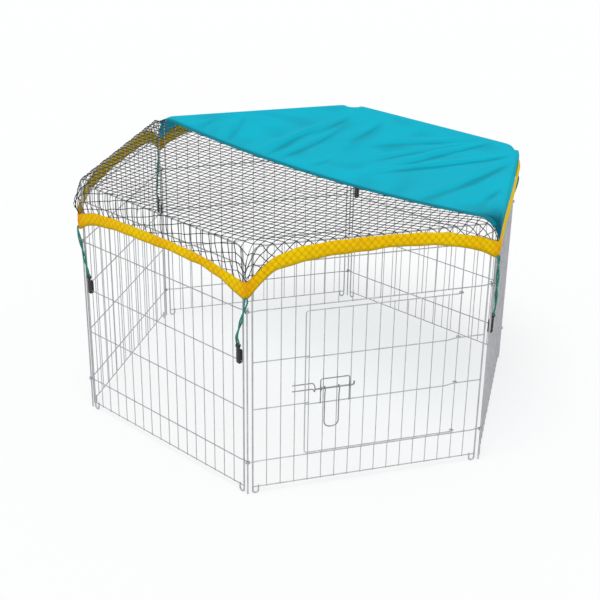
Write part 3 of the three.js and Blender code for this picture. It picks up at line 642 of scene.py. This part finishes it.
def hem_column(side, along):
    """A closed section of the tape: its points, flat coordinates and shades."""
    upper_edge, lower_edge = (float(v) for v in hem_edges(side, along))
    station = side * PITCH + along
    flutter = 1.1 * math.sin(station / 23 + 1.3 * math.sin(station / 61)) \
        + 0.6 * math.sin(station / 9.7)
    lower_edge += 0.9 * flutter
    upper_edge += 0.5 * math.sin(station / 11 + 2)
    width = upper_edge - lower_edge
    share = np.linspace(0, 1, ACROSS + 1)
    height = upper_edge - share * width
    slant = station + 0.9 * (height - COVER_TOP)
    other = station - 0.9 * (height - COVER_TOP)
    quilt = (np.abs(np.sin(math.pi * slant / CELL)) ** 0.6
             * np.abs(np.sin(math.pi * other / CELL)) ** 0.6)
    arch = np.sin(math.pi * share)
    bulge = 2.0 * arch ** 0.6
    fold = 0.8 * flutter * arch + 0.5 * np.sin(5.5 * share + station / 19) * arch
    base = HEM_OFFSET + float(bowed(side, along))
    offset = base + 0.3 + bulge + fold * 0.6 + 1.3 * quilt * arch ** 0.4
    inner = share[::-3][1:-1]
    offset = np.concatenate([offset, np.full(len(inner), base - 0.9)])
    height = np.concatenate([height, upper_edge - inner * width])
    near = max(0.0, 1 - min(along, PITCH - along) / 34) ** 1.3
    patches = 0.5 + 0.5 * math.sin(station / 37 + 2 * math.sin(station / 90))
    count = len(offset)
    # More orange near the corners and in soft patches, by a share for each side.
    orange_share = np.clip(ORANGE_SHARE[side] * (0.15 + 0.5 * patches) + 0.75 * near, 0, 1)
    shade = np.column_stack([
        np.full(count, orange_share),
        # Painted shade: olive along the tape's lower edge, where it turns under, and over its inner
        # face.
        np.concatenate([np.clip((share - 0.72) / 0.28, 0, 1) * 0.8, np.full(len(inner), 0.6)]),
        # Painted shade: brown in the grooves between the quilted puffs, along the stitches.
        np.concatenate([(1 - quilt) ** 2 * 0.75, np.zeros(len(inner))]),
        np.ones(count)])
    flat = np.column_stack([np.full(count, station / 1000), height / 1000])
    return hung(side, np.full(count, along), offset, height), flat, shade


def dressed(name, points, faces, flat, finish, shades=None):
    """A smooth mesh with its flat coordinates as a UV map and its shades as a colour."""
    mesh = bpy.data.meshes.new(name)
    mesh.from_pydata([tuple(p) for p in points], [], faces)
    mesh.polygons.foreach_set("use_smooth", [True] * len(faces))
    corners = np.array([v for f in faces for v in f])
    layer = mesh.uv_layers.new(name="flat")
    layer.data.foreach_set("uv", flat[corners].ravel())
    if shades is not None:
        marks = mesh.color_attributes.new("shade", "FLOAT_COLOR", "POINT")
        marks.data.foreach_set("color", shades.ravel())
    mesh.materials.append(finish)
    return mesh


def tube_mesh(name, rows, flats, finish, shades=None):
    """A closed skin over rings of points, capped at both ends."""
    count, last = len(rows[0]), (len(rows) - 1) * len(rows[0])
    faces = [(i * count + j, i * count + (j + 1) % count, (i + 1) * count + (j + 1) % count,
              (i + 1) * count + j) for i in range(len(rows) - 1) for j in range(count)]
    faces += [tuple(range(count))[::-1], tuple(last + j for j in range(count))]
    mesh = dressed(name, np.concatenate(rows), faces, np.concatenate(flats), finish,
                   None if shades is None else np.concatenate(shades))
    shape = bmesh.new()
    shape.from_mesh(mesh)
    bmesh.ops.recalc_face_normals(shape, faces=shape.faces)
    shape.to_mesh(mesh)
    shape.free()
    return mesh


def hem_band(name, stations):
    """A length of tape over (side, along) stations."""
    columns = [hem_column(side, along) for side, along in stations]
    points, flats, shades = zip(*columns)
    mesh = tube_mesh(name, points, flats, hem_cloth, shades)
    return added(name, mesh)


def run_of(first, last, step=2.0):
    return np.linspace(first, last, int(round((last - first) / step)) + 1)


for side, name in enumerate(SIDE_NAMES):
    first = 0.0 if side == 4 else CORNER_REACH
    last = PITCH if side == 3 else PITCH - CORNER_REACH
    band = hem_band(f"hem_{name}", [(side, a) for a in run_of(first, last)])
    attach(band, f"{name}_panel")
for corner in (0, 1, 2, 3, 5):
    before = (corner - 1) % 6
    stations = [(before, a) for a in run_of(PITCH - CORNER_REACH, PITCH, 1.5)]
    stations += [(corner, a) for a in run_of(0, CORNER_REACH, 1.5)[1:]]
    band = hem_band(f"hem_tip_{CORNERS[corner]}", stations)
    start = hung(before, np.array([PITCH - CORNER_REACH]), 0.0, 560.0)[0]
    end = hung(corner, np.array([CORNER_REACH]), 0.0, 560.0)[0]
    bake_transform(band)
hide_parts("cover_hem")


# ------------------------------------------------------------------ net
# Half of the cover is a knotted net of thin black cord with square meshes set cornerwise. It lies
# over the top wires, sags towards the middle of the run and hangs down to the tape.

NET_PITCH = 20.0
NET_CORD = 1.0
SAG = 27.0
BAR_BEND = 4.7  # the cover's bend over the top wire
SKIRT_TUCK = 4.0
CORNER_DIP, CORNER_ROUND = 34, 46  # the drop at a pin, and how far from it the drop begins
net_cord = mottled("net", (0.006, 0.007, 0.009), (0.028, 0.028, 0.034), (0.45, 0.7), coarse=60,
                   fine=1500, bump=0.5, distance=0.0003)


def outward(side):
    """The flat direction that a side faces."""
    turn = math.radians(60 * side - 90)
    return np.array([math.cos(turn), math.sin(turn)])


def sector(x, y):
    """The side whose third of the hexagon each flat point lies in, and its reach."""
    reach = np.stack([x * outward(k)[0] + y * outward(k)[1] for k in range(6)])
    return np.argmax(reach, axis=0), reach


def dipped(distance):
    """How far the cover drops over the rounded top corners, by its distance from the pin."""
    return CORNER_DIP * np.clip(1 - distance / CORNER_ROUND, 0, 1) ** 3


def sagged(x, y):
    """Height of the cover over a flat point inside the hexagon."""
    _, reach = sector(x, y)
    soft = (np.clip(reach, 0, None) ** 9).sum(axis=0) ** (1 / 9)
    turns = np.radians(60 * np.arange(6))
    away = np.min([np.hypot(x - PITCH * math.cos(t), y - PITCH * math.sin(t)) for t in turns],
                  axis=0)
    return COVER_TOP - SAG * (1 - np.clip(soft / APOTHEM, 0, 1) ** 2) - dipped(away)


def draped(x, y, side, bulge=0.0, pucker=0.0):
    """Metres of flat points laid over the run, as part of the given side's share."""
    out = outward(side)
    reach = x * out[0] + y * out[1] - APOTHEM
    along = -x * out[1] + y * out[0] + PITCH / 2
    inside = np.column_stack([along, -reach, sagged(x, y)])
    over = np.clip(reach, 0, None)
    bend = np.clip(over / (BAR_BEND * math.pi / 2), 0, 1) * math.pi / 2
    drop = np.clip(over - BAR_BEND * math.pi / 2, 0, None)
    squeezed = np.clip(along, 0, PITCH)
    top_edge, _ = hem_edges(side, squeezed)
    near = np.minimum(squeezed, PITCH - squeezed)
    crest = COVER_TOP - dipped(near)
    room = np.clip(crest - BAR_BEND - (top_edge - SKIRT_TUCK), 1, None)
    drop = np.minimum(drop, room)
    share = drop / room
    swell = bulge * np.sin(math.pi * share) * np.clip(room / 30, 0, 1.5)
    folds = pucker * np.exp(-near / 26) * np.sin(math.pi * np.clip(share * 1.3, 0, 1)) * (
        0.6 + 0.4 * np.sin(along / 3.1 + drop / 6.0))
    offset = BAR_BEND * np.sin(bend) + swell + folds + bowed(side, squeezed) * share
    height = crest - BAR_BEND * (1 - np.cos(bend)) - drop
    outside = hung(side, squeezed, offset, height)
    return np.where((reach > 0)[:, None], outside, place(side, inside))


def net_lines():
    """Both sets of cords as flat points, four to a mesh, with small drifts."""
    drift = np.random.default_rng(11)
    reach = 780
    count = int(2 * reach / NET_PITCH)
    wander = drift.normal(0, 1, (2, 12, 12))

    def warp(u, v):
        i = np.clip((u + reach) / (2 * reach) * 11, 0, 10.999)
        j = np.clip((v + reach) / (2 * reach) * 11, 0, 10.999)
        a, b = i.astype(int), j.astype(int)
        s, t = i - a, j - b
        s, t = s * s * (3 - 2 * s), t * t * (3 - 2 * t)
        moved = [w[a, b] * (1 - s) * (1 - t) + w[a + 1, b] * s * (1 - t)
                 + w[a, b + 1] * (1 - s) * t + w[a + 1, b + 1] * s * t for w in wander]
        return u + 3.2 * moved[0], v + 3.2 * moved[1]

    knots = drift.normal(0, 0.9, (count + 1, count + 1, 2))
    steps = np.arange(count + 1)
    fine = np.linspace(0, count, 4 * count + 1)
    root = math.sqrt(0.5)
    lines = []
    for across in (0, 1):
        for n in range(count + 1):
            along = steps * NET_PITCH - reach
            fixed = np.full(count + 1, n * NET_PITCH - reach)
            u, v = (along, fixed) if across == 0 else (fixed, along)
            shift = knots[:, n] if across == 0 else knots[n, :]
            u, v = warp(u, v)
            u, v = u + shift[:, 0], v + shift[:, 1]
            u, v = np.interp(fine, steps, u), np.interp(fine, steps, v)
            lines.append((root * (u - v), root * (u + v), fine))
    return lines


def skirt_length(side, along):
    """From the bend over the top wire down to where the tape holds the cover."""
    crest = COVER_TOP - dipped(np.minimum(along, PITCH - along))
    return crest - hem_edges(side, along)[0] + SKIRT_TUCK + BAR_BEND * 0.57


def seam_side(x, y):
    """Distance from the seam between the net and the shade, positive on the net's side."""
    return x * outward(5)[0] + y * outward(5)[1]


def net_pieces(side):
    """The cords over one side's share, parted at the top wire into a top and a skirt."""
    parts = {"top": ([], [], []), "skirt": ([], [], [])}
    for x, y, at in NET_LINES:
        found, reach = sector(x, y)
        over = reach[side] - APOTHEM
        along = -x * outward(side)[1] + y * outward(side)[0] + PITCH / 2
        room = skirt_length(side, np.clip(along, 0, PITCH))
        own = found == side
        own[1:] |= own[:-1].copy()  # one point on into the next share, so that the cord goes on
        keep = own & (over < room) & (seam_side(x, y) > 5)
        place_at = draped(x, y, side, bulge=3.0, pucker=7.0)
        for label, wanted in (("top", over <= 1), ("skirt", over >= -4)):
            points, edges, knots = parts[label]
            ok = keep & wanted
            previous = None
            for n in np.nonzero(ok)[0]:
                points.append(place_at[n])
                if previous is not None and n == previous + 1:
                    edges.append((len(points) - 2, len(points) - 1))
                if abs(at[n] - round(at[n])) < 1e-6:
                    knots.append(place_at[n])
                previous = n
    return parts


def knot_tree():
    tree, start, end = shape_tree("knots", Radius="Float", Finish="Material")
    ball = node(tree, "GeometryNodeMeshIcoSphere", {
        "Radius": start.outputs["Radius"], "Subdivisions": 1})
    finish_tree(tree, start, end, copied(tree, start.outputs["Geometry"], ball.outputs[0]))
    return tree


KNOTS = knot_tree()
NET_LINES = net_lines()


def gathers(thing):
    """Give a top piece of the cover its own copy of its mesh."""
    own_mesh(thing)


for side in (0, 4, 5):
    body = f"{SIDE_NAMES[side]}_panel"
    for label, (points, edges, knots) in net_pieces(side).items():
        cords = bent(points, edges, NET_CORD, 4, net_cord)
        tied = grown(KNOTS, {"Radius": 1.75 * NET_CORD / 1000, "Finish": net_cord}, knots)
        thing = piece(f"net_{label}_{SIDE_NAMES[side]}", [cords, tied], net_cord)
        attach(thing, body)
        if label == "top":
            gathers(thing)
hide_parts("cover_net")


# ------------------------------------------------------------------ sunshade
# The other half is a light turquoise cloth that keeps out sun and rain. It is stretched from the
# seam to the tape, with long soft creases that fan out of the corner where it is drawn tightest.

CREASES = [  # flat ends, height and half width in mm
    ((575, -60), (160, -29), 4.6, 15), ((548, -110), (190, -275), 4.2, 17),
    ((540, 62), (200, 5), 4.0, 16), ((470, 90), (150, 60), 2.6, 13),
    ((150, 380), (-95, 190), 4.2, 15), ((185, 330), (-90, 120), 3.0, 13),
    ((560, -85), (330, -190), 3.2, 12), ((520, 110), (240, 190), 2.8, 18),
    ((110, 110), (-30, 60), 1.8, 12), ((-150, 480), (-250, 400), 2.4, 12),
    ((-60, 490), (-190, 300), 2.6, 14), ((430, -300), (320, -440), 3.0, 12),
    ((470, -250), (300, -380), 3.0, 13), ((385, -370), (290, -470), 2.4, 9),
    ((250, 430), (60, 300), 2.2, 15), ((330, 350), (170, 240), 2.0, 14)]


def creased(x, y):
    """How far the creases lift the cloth over flat points."""
    lift = np.zeros_like(x)
    for first, last, height, width in CREASES:
        first, last = np.array(first, float), np.array(last, float)
        length = np.linalg.norm(last - first)
        ahead = (last - first) / length
        u = (x - first[0]) * ahead[0] + (y - first[1]) * ahead[1]
        v = -(x - first[0]) * ahead[1] + (y - first[1]) * ahead[0]
        v = v + 5 * np.sin(u / 70 + first[0])
        along = np.clip(u / length, -0.15, 1.15)
        fade = np.clip(np.sin(math.pi * (along + 0.15) / 1.3), 0, 1) ** 1.4
        spread = width * (0.55 + 0.75 * np.clip(along, 0, 1))
        ridge = np.exp(-(v / spread) ** 2)
        hollow = np.exp(-((v - 1.5 * spread) / spread) ** 2)
        lift += height * fade * (ridge - 0.7 * hollow)
    ripple = 0.7 * np.sin(x / 31 + 2.1 * np.sin(y / 77)) * np.sin(y / 43 + 1.4 * np.sin(x / 59))
    return lift + ripple


def shade_marks(tree, colour):
    """Painted shade: darken the cloth beside the seam roll, in its drawn front right corner and in
    its crease hollows.
    """
    return tinted(tree, colour, marks(tree)["Red"], (0.0, 0.10, 0.15))


shade_cloth = cloth("sunshade_cloth", (0.0, 0.41, 0.54), (0.0, 0.47, 0.62), (0.7, 0.85), 900, 9,
                    patch=shade_marks)


def calm(x, y):
    """No creases where the cloth lies on the wires or is stitched to the seam."""
    _, reach = sector(x, y)
    to_edge = APOTHEM - reach.max(axis=0)
    return np.clip(to_edge / 35, 0, 1) * np.clip((-seam_side(x, y) - 4) / 25, 0, 1)


def cloth_height(x, y):
    """Height of the creased cloth over a flat point inside the hexagon."""
    return sagged(x, y) + creased(x, y) * calm(x, y)


def shade_at(x, y, side):
    """Place, flat coordinates and shade of cloth points in one side's share."""
    from_seam = -seam_side(x, y)
    lift = creased(x, y) * calm(x, y)
    points = draped(x, y, side, bulge=1.0, pucker=2.0)
    points[:, 2] += lift / 1000
    # Painted shade: a dark fringe beside the seam roll, a dark patch where the cloth drops into the
    # front right corner, and dark hollows along the creases.
    corner = np.hypot(x - PITCH / 2, y + APOTHEM)
    crease_shade = np.clip(-lift / 5, 0, 0.4)
    dark = np.clip(0.5 * np.exp(-(np.clip(from_seam, 0, None) / 14) ** 2)
                   + 0.95 * np.exp(-(corner / 70) ** 2) + crease_shade, 0, 1)
    shade = np.column_stack([dark, dark, dark, np.ones_like(dark)])
    return points, np.column_stack([x, y]) / 1000, shade


def shade_grid(side, rows, columns, skirt):
    """Flat points of one side's share: its top from the middle out, or its skirt."""
    out = outward(side)
    tangent = np.array([-out[1], out[0]])
    grid = []
    if skirt:
        along = np.linspace(0, PITCH, columns + 1)
        room = skirt_length(side, along)
        for share in np.linspace(0, 1, rows + 1):
            reach = APOTHEM + share * room
            grid.append((reach * out[0] + (along - PITCH / 2) * tangent[0],
                         reach * out[1] + (along - PITCH / 2) * tangent[1]))
    else:
        for share in np.linspace(0.5 / APOTHEM, 1, rows + 1):
            along = np.linspace(-1, 1, columns + 1) * PITCH / 2 * share
            reach = APOTHEM * share
            grid.append((reach * out[0] + along * tangent[0],
                         reach * out[1] + along * tangent[1]))
    return grid


def cloth_normals(grid, placed, skirt):
    """Normals that carry on across the joins between shares of the cloth."""
    if skirt:
        points = np.array(placed)
        normal = np.cross(np.gradient(points, axis=0), np.gradient(points, axis=1))
        normal /= np.maximum(np.linalg.norm(normal, axis=2, keepdims=True), 1e-12)
        return normal.reshape(-1, 3)
    x, y = (np.concatenate(c) for c in zip(*grid))
    fall_x = (cloth_height(x + 1, y) - cloth_height(x - 1, y)) / 2
    fall_y = (cloth_height(x, y + 1) - cloth_height(x, y - 1)) / 2
    normal = np.column_stack([-fall_x, -fall_y, np.ones_like(x)])
    return normal / np.linalg.norm(normal, axis=1, keepdims=True)


CLOTH_THICKNESS = 0.0006


def cloth_mesh(name, grid, placed, flats, shades, skirt):
    """Both faces of the cloth and its edges, smooth across the joins between shares."""
    normal = cloth_normals(grid, placed, skirt)
    middle = np.concatenate(placed)
    rows, count, total = len(placed), len(placed[0]), len(middle)
    upper = [(i * count + j, (i + 1) * count + j, (i + 1) * count + j + 1, i * count + j + 1)
             for i in range(rows - 1) for j in range(count - 1)]
    lower = [tuple(total + v for v in face[::-1]) for face in upper]
    border = list(range(count)) + [i * count + count - 1 for i in range(1, rows)]
    border += [(rows - 1) * count + j for j in range(count - 2, -1, -1)]
    border += [i * count for i in range(rows - 2, 0, -1)]
    rim = [(a, b, b + total, a + total) for a, b in zip(border, border[1:] + border[:1])]
    half = normal * CLOTH_THICKNESS / 2
    mesh = dressed(name, np.vstack([middle + half, middle - half]), upper + lower + rim,
                   np.vstack([np.concatenate(flats)] * 2), shade_cloth,
                   np.vstack([np.concatenate(shades)] * 2))
    across = [tuple(np.cross(middle[b] - middle[a], normal[a])) for a, b, _, _ in rim]
    split = [tuple(normal[v]) for face in upper for v in face]
    split += [tuple(-normal[v - total]) for face in lower for v in face]
    split += [edge for edge in across for _ in range(4)]
    mesh.normals_split_custom_set(split)
    return mesh


# The net is sewn to the cloth's seam, and the tape to its edge, which runs on round the net.
for side in (1, 2, 3):
    name, body = SIDE_NAMES[side], f"{SIDE_NAMES[side]}_panel"
    for label, rows, columns in (("top", 64, 72), ("skirt", 10, 121)):
        grid = shade_grid(side, rows, columns, label == "skirt")
        placed = [shade_at(x, y, side) for x, y in grid]
        points, flats, shades = zip(*placed)
        mesh = cloth_mesh(f"shade_{label}_{name}", grid, points, flats, shades,
                          label == "skirt")
        thing = added(mesh.name, mesh)
        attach(thing, body)
        if label == "top":
            gathers(thing)
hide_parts("sunshade")


# ------------------------------------------------------------------ seam
# The cloth's edge is rolled over the net's edge and stitched, which makes a thick band from
# the back left corner to the front right one. Its dark teal is partly painted shade.

SEAM_STEP = 3.0
SEAM_POINTS = 10  # round the roll
# The roll's dark teal is partly painted shade.
seam_cloth = cloth("seam_roll", (0.0, 0.17, 0.23), (0.0, 0.24, 0.31), (0.75, 0.85), 900, 30)
for side, toward in ((3, 4), (1, 1)):
    turn = math.radians(60 * toward - 120)
    corner = np.array([math.cos(turn), math.sin(turn)])
    inward = -outward(5)
    columns = []
    for distance in np.arange(0, PITCH - 8, SEAM_STEP):
        middle = corner * (distance + 2)
        section = []
        for angle in np.linspace(0, 2 * math.pi, SEAM_POINTS + 1)[:-1]:
            tuck = 0.25 * math.cos(2 * math.pi * distance / 9)
            across = (8.5 + tuck) * math.cos(angle) - 1.0
            rise = (2.0 + tuck) * math.sin(angle)
            at = middle + inward * across
            low = float(sagged(np.array([at[0]]), np.array([at[1]]))[0])
            section.append((at[0] / 1000, (at[1] + RING_SHIFT) / 1000,
                            (low + 1.2 + rise + GROUND) / 1000))
        columns.append(np.array(section))
    flats = [np.column_stack([np.linspace(0, 0.035, SEAM_POINTS),
                              np.full(SEAM_POINTS, n * 0.003)]) for n in range(len(columns))]
    mesh = tube_mesh(f"seam_{SIDE_NAMES[side]}", columns, flats, seam_cloth)
    roll = added(mesh.name, mesh)
    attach(roll, f"{SIDE_NAMES[side]}_panel")
    gathers(roll)


# ------------------------------------------------------------------ elastics and hooks
# At each corner a loop of green elastic cord comes out of the tape's tip and runs down to a black
# moulded hook, which is pulled up against the underside of a rail of a panel beside it.

ELASTIC_RADIUS = 2.1
HOOK_RAIL = 337
HOOK_ASIDE = 25  # from the pin along the panel
HOOK_SHANK = -4.7  # the middle of the hook's shank, in front of the rail
EYE_HEIGHT = 40  # of the bored eye over the rail
HOOK_HALF_WIDTH = 4.0
HOOK_BEFORE = [True, False, False, True, False, False]
HOOK_BODIES = ["front_left_panel", "front_right_panel", "back_right_panel", "back_right_panel",
               "back_left_panel", "front_left_panel"]


def braided(tree, shader, tone, relief):
    """Pale strands that cross over the green ones."""
    where = node(tree, "ShaderNodeTexCoord").outputs["Object"]
    slanted = node(tree, "ShaderNodeMapping", {"Vector": where, "Rotation": (0.6, 0.5, 0.2)})
    bands = node(tree, "ShaderNodeTexWave", {
        "Vector": slanted.outputs[0], "Scale": 90.0, "Distortion": 2.0, "Detail": 1.0})
    strand = bands.outputs["Fac"]
    edge = node(tree, "ShaderNodeMapRange", {"Value": strand, "From Min": 0.62, "From Max": 0.9})
    colour = tinted(tree, tone.outputs["Result"], edge.outputs[0], (0.03, 0.36, 0.27))
    tree.links.new(colour, shader.inputs["Base Color"])
    tree.links.new(strand, relief.inputs["Height"])


elastic_cord = mottled("elastic", (0.0, 0.10, 0.075), (0.0, 0.19, 0.14), (0.5, 0.7), coarse=60,
                       fine=700, bump=0.6, distance=0.0004, extra=braided)
hook_black = mottled("hook_plastic", (0.010, 0.011, 0.011), (0.035, 0.037, 0.036), (0.35, 0.55),
                     coarse=120, fine=1500, bump=0.3, distance=0.0002)


def catmull(points, steps=7):
    """A smooth closed path through the points."""
    pts = np.array(points, float)
    closed = [pts[(i + d) % len(pts)] for i in range(len(pts)) for d in (-1, 0, 1, 2)]
    path = []
    for n in range(len(pts)):
        a, b, c, d = closed[4 * n:4 * n + 4]
        for t in np.arange(steps) / steps:
            path.append(0.5 * (2 * b + (c - a) * t + (2 * a - 5 * b + 4 * c - d) * t * t
                               + (3 * b - a - 3 * c + d) * t ** 3))
    return np.array(path)


def hook_mesh(side, along):
    """The hook as an outline with a bored eye, given its width and soft edges."""
    floor = -1.7  # the inside of the bend, under the rail
    outline = [(-7.2, floor - 1.5), (-4.2, floor - 5), (3.0, floor - 5), (6.2, floor - 2),
               (6.2, 24), (4.2, 28), (2.2, 24), (2.2, floor + 0.6), (1.2, floor),
               (-1.2, floor), (-2.2, floor + 0.8), (-2.2, 33.5)]
    head = [(HOOK_SHANK + 5.4 * math.cos(a), EYE_HEIGHT + 5.4 * math.sin(a))
            for a in np.linspace(math.radians(-52), math.radians(232), 15)]
    ridged = [(-7.2 - 0.7 * (n % 2), 33 - n * 4.6) for n in range(7)]
    ring = outline + head + ridged
    shape = bmesh.new()
    outer = [shape.verts.new((0, y, z)) for y, z in ring]
    inner = [shape.verts.new((0, HOOK_SHANK + 3 * math.cos(a), EYE_HEIGHT + 3 * math.sin(a)))
             for a in np.linspace(0, 2 * math.pi, 17)[:-1]]
    edges = [shape.edges.new((loop[i], loop[(i + 1) % len(loop)]))
             for loop in (outer, inner) for i in range(len(loop))]
    bmesh.ops.triangle_fill(shape, edges=edges, use_beauty=True)
    made = bmesh.ops.extrude_face_region(shape, geom=list(shape.faces))
    moved = [g for g in made["geom"] if isinstance(g, bmesh.types.BMVert)]
    for vert in shape.verts:
        vert.co.x = -HOOK_HALF_WIDTH
    for vert in moved:
        vert.co.x = HOOK_HALF_WIDTH
    bmesh.ops.recalc_face_normals(shape, faces=shape.faces)
    sharp = [e for e in shape.edges if len(e.link_faces) == 2
             and abs(e.link_faces[0].normal.x - e.link_faces[1].normal.x) > 0.5]
    bmesh.ops.bevel(shape, geom=sharp, offset=0.6, segments=2, affect="EDGES", profile=0.6)
    points = np.array([v.co[:] for v in shape.verts])
    points[:, 0] += along
    points[:, 2] += HOOK_RAIL
    for vert, at in zip(shape.verts, place(side, points)):
        vert.co = at
    bmesh.ops.recalc_face_normals(shape, faces=shape.faces)
    mesh = bpy.data.meshes.new("hook")
    shape.to_mesh(mesh)
    shape.free()
    mesh.polygons.foreach_set("use_smooth", [True] * len(mesh.polygons))
    mesh.set_sharp_from_angle(angle=math.radians(35))
    return mesh


for corner, name in enumerate(CORNERS):
    side = (corner - 1) % 6 if HOOK_BEFORE[corner] else corner
    along = PITCH - HOOK_ASIDE if HOOK_BEFORE[corner] else HOOK_ASIDE
    body = HOOK_BODIES[corner]
    mesh = hook_mesh(side, along)
    mesh.materials.append(hook_black)
    hook = added(f"moulded_hook_{name}", mesh)
    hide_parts(f"hook_{name}")
    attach(hook, body)

    eye = HOOK_RAIL + EYE_HEIGHT + 0.97
    tip = float(hem_edges(corner, 0.0)[1]) + 1.5
    strand = [(3.6, -4.9, 2), (3.4, -7.0, 12), (1.9, -8.6, 24)]
    low = place(side, [(along, HOOK_SHANK, eye)] + [(along + x, y, eye + z) for x, y, z in strand])
    back = place(side, [(along - x, y, eye + z) for x, y, z in strand[::-1]])
    foot = place(side, [(along, -8.6, eye + 24)])[0]
    rise = corner_frame(corner, [(9.4, 0, tip - 10)])[0] - foot
    base, outer, beside = corner_frame(corner, [(9.4, 0, 0), (10.4, 0, 0), (9.4, 1, 0)])
    twist = []
    for share in (0.25, 0.45, 0.65, 0.85):
        turn = math.pi * share * 2
        twist.append((foot + share * rise, 2.4 * (math.cos(turn) * (beside - base)
                                                  + math.sin(turn) * (outer - base))))
    up_strand = [at + part for at, part in twist]
    down_strand = [at - part for at, part in twist]
    over = corner_frame(corner, [(9.2, 3.4, tip - 7), (8.4, 2.8, tip + 1), (8.2, 0, tip + 2.6),
                                 (8.4, -2.8, tip + 1), (9.2, -3.4, tip - 7)])
    path = catmull([*low, *up_strand, *over, *down_strand[::-1], *back])
    count = len(path)
    cord = bent(path, [(i, (i + 1) % count) for i in range(count)], ELASTIC_RADIUS, 8,
                elastic_cord)
    loop = piece(f"elastic_loop_{name}", [cord], elastic_cord)
    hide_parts(f"elastic_{name}")
    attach(loop, body)


# ------------------------------------------------------------------ floor, lamps and camera
# A plain pale floor under a white surround, one broad soft lamp from the upper left and an even
# sky, seen from where the photograph was taken.

def white_behind(tree, lit, plain, white, end):
    """Show plain white to the camera and in gloss, and keep some of what is lit."""
    path = node(tree, "ShaderNodeLightPath")
    seen = path.outputs["Is Camera Ray"]
    for other in ("Is Glossy Ray", "Is Transmission Ray"):
        seen = node(tree, "ShaderNodeMath", {0: seen, 1: path.outputs[other]},
                    operation="MAXIMUM").outputs[0]
    part = node(tree, "ShaderNodeMath", {0: seen, 1: white}, operation="MULTIPLY")
    mixed = node(tree, "ShaderNodeMixShader", {0: part.outputs[0], 1: lit, 2: plain.outputs[0]})
    tree.links.new(mixed.outputs[0], tree.nodes[end].inputs["Surface"])


WHITE = {"Color": (1, 1, 1, 1), "Strength": 1.0}
FLOOR_REACH = 30  # metres
floor_mesh = bpy.data.meshes.new("floor")
floor_mesh.from_pydata([(x * FLOOR_REACH, y * FLOOR_REACH, 0) for x, y in
                        ((-1, -1), (1, -1), (1, 1), (-1, 1))], [], [(0, 1, 2, 3)])
floor = bpy.data.objects.new("floor", floor_mesh)
bpy.context.scene.collection.objects.link(floor)
floor_finish = bpy.data.materials.new("pale_floor")
floor_finish.use_nodes = True
tree = floor_finish.node_tree
shader = tree.nodes["Principled BSDF"]
shader.inputs["Base Color"].default_value = (0.95, 0.95, 0.95, 1)
shader.inputs["Roughness"].default_value = 0.95
white_behind(tree, shader.outputs[0], node(tree, "ShaderNodeEmission", WHITE), 0.7,
             "Material Output")
floor_mesh.materials.append(floor_finish)

world = bpy.data.worlds.new("even_sky")
bpy.context.scene.world = world
world.use_nodes = True
tree = world.node_tree
sky = tree.nodes["Background"]
sky.inputs["Color"].default_value = (0.96, 0.98, 1.0, 1)
sky.inputs["Strength"].default_value = 0.60
white_behind(tree, sky.outputs[0], node(tree, "ShaderNodeBackground", WHITE), 1.0,
             "World Output")

lamp_data = bpy.data.lights.new("soft_lamp", "SUN")
lamp_data.energy = 1.45
lamp_data.angle = math.radians(35)
lamp = bpy.data.objects.new("soft_lamp", lamp_data)
lamp.rotation_euler = (math.radians(16), math.radians(-12), 0)
bpy.context.scene.collection.objects.link(lamp)

CAMERA_LENS = 72.255
CAMERA_PLACE = (-0.90045, -2.90368, 1.63795)
CAMERA_TURNS = (16.858, 24.523, 0.874)  # degrees to the right, down and about its own axis
camera_data = bpy.data.cameras.new("camera")
camera_data.lens = CAMERA_LENS
camera_data.sensor_width = 36
camera_data.clip_end = 100
camera = bpy.data.objects.new("camera", camera_data)
yaw, pitch, roll = (math.radians(a) for a in CAMERA_TURNS)
ahead = np.array([math.sin(yaw) * math.cos(pitch), math.cos(yaw) * math.cos(pitch),
                  -math.sin(pitch)])
level = np.array([math.cos(yaw), -math.sin(yaw), 0])
above = np.cross(level, ahead)
right = level * math.cos(roll) + above * math.sin(roll)
up = -level * math.sin(roll) + above * math.cos(roll)
matrix = np.eye(4)
matrix[:3, 0], matrix[:3, 1], matrix[:3, 2] = right, up, -ahead
matrix[:3, 3] = CAMERA_PLACE
camera.matrix_world = Matrix(matrix.tolist())
bpy.context.scene.collection.objects.link(camera)
bpy.context.scene.camera = camera
bpy.context.scene.view_settings.view_transform = "Standard"
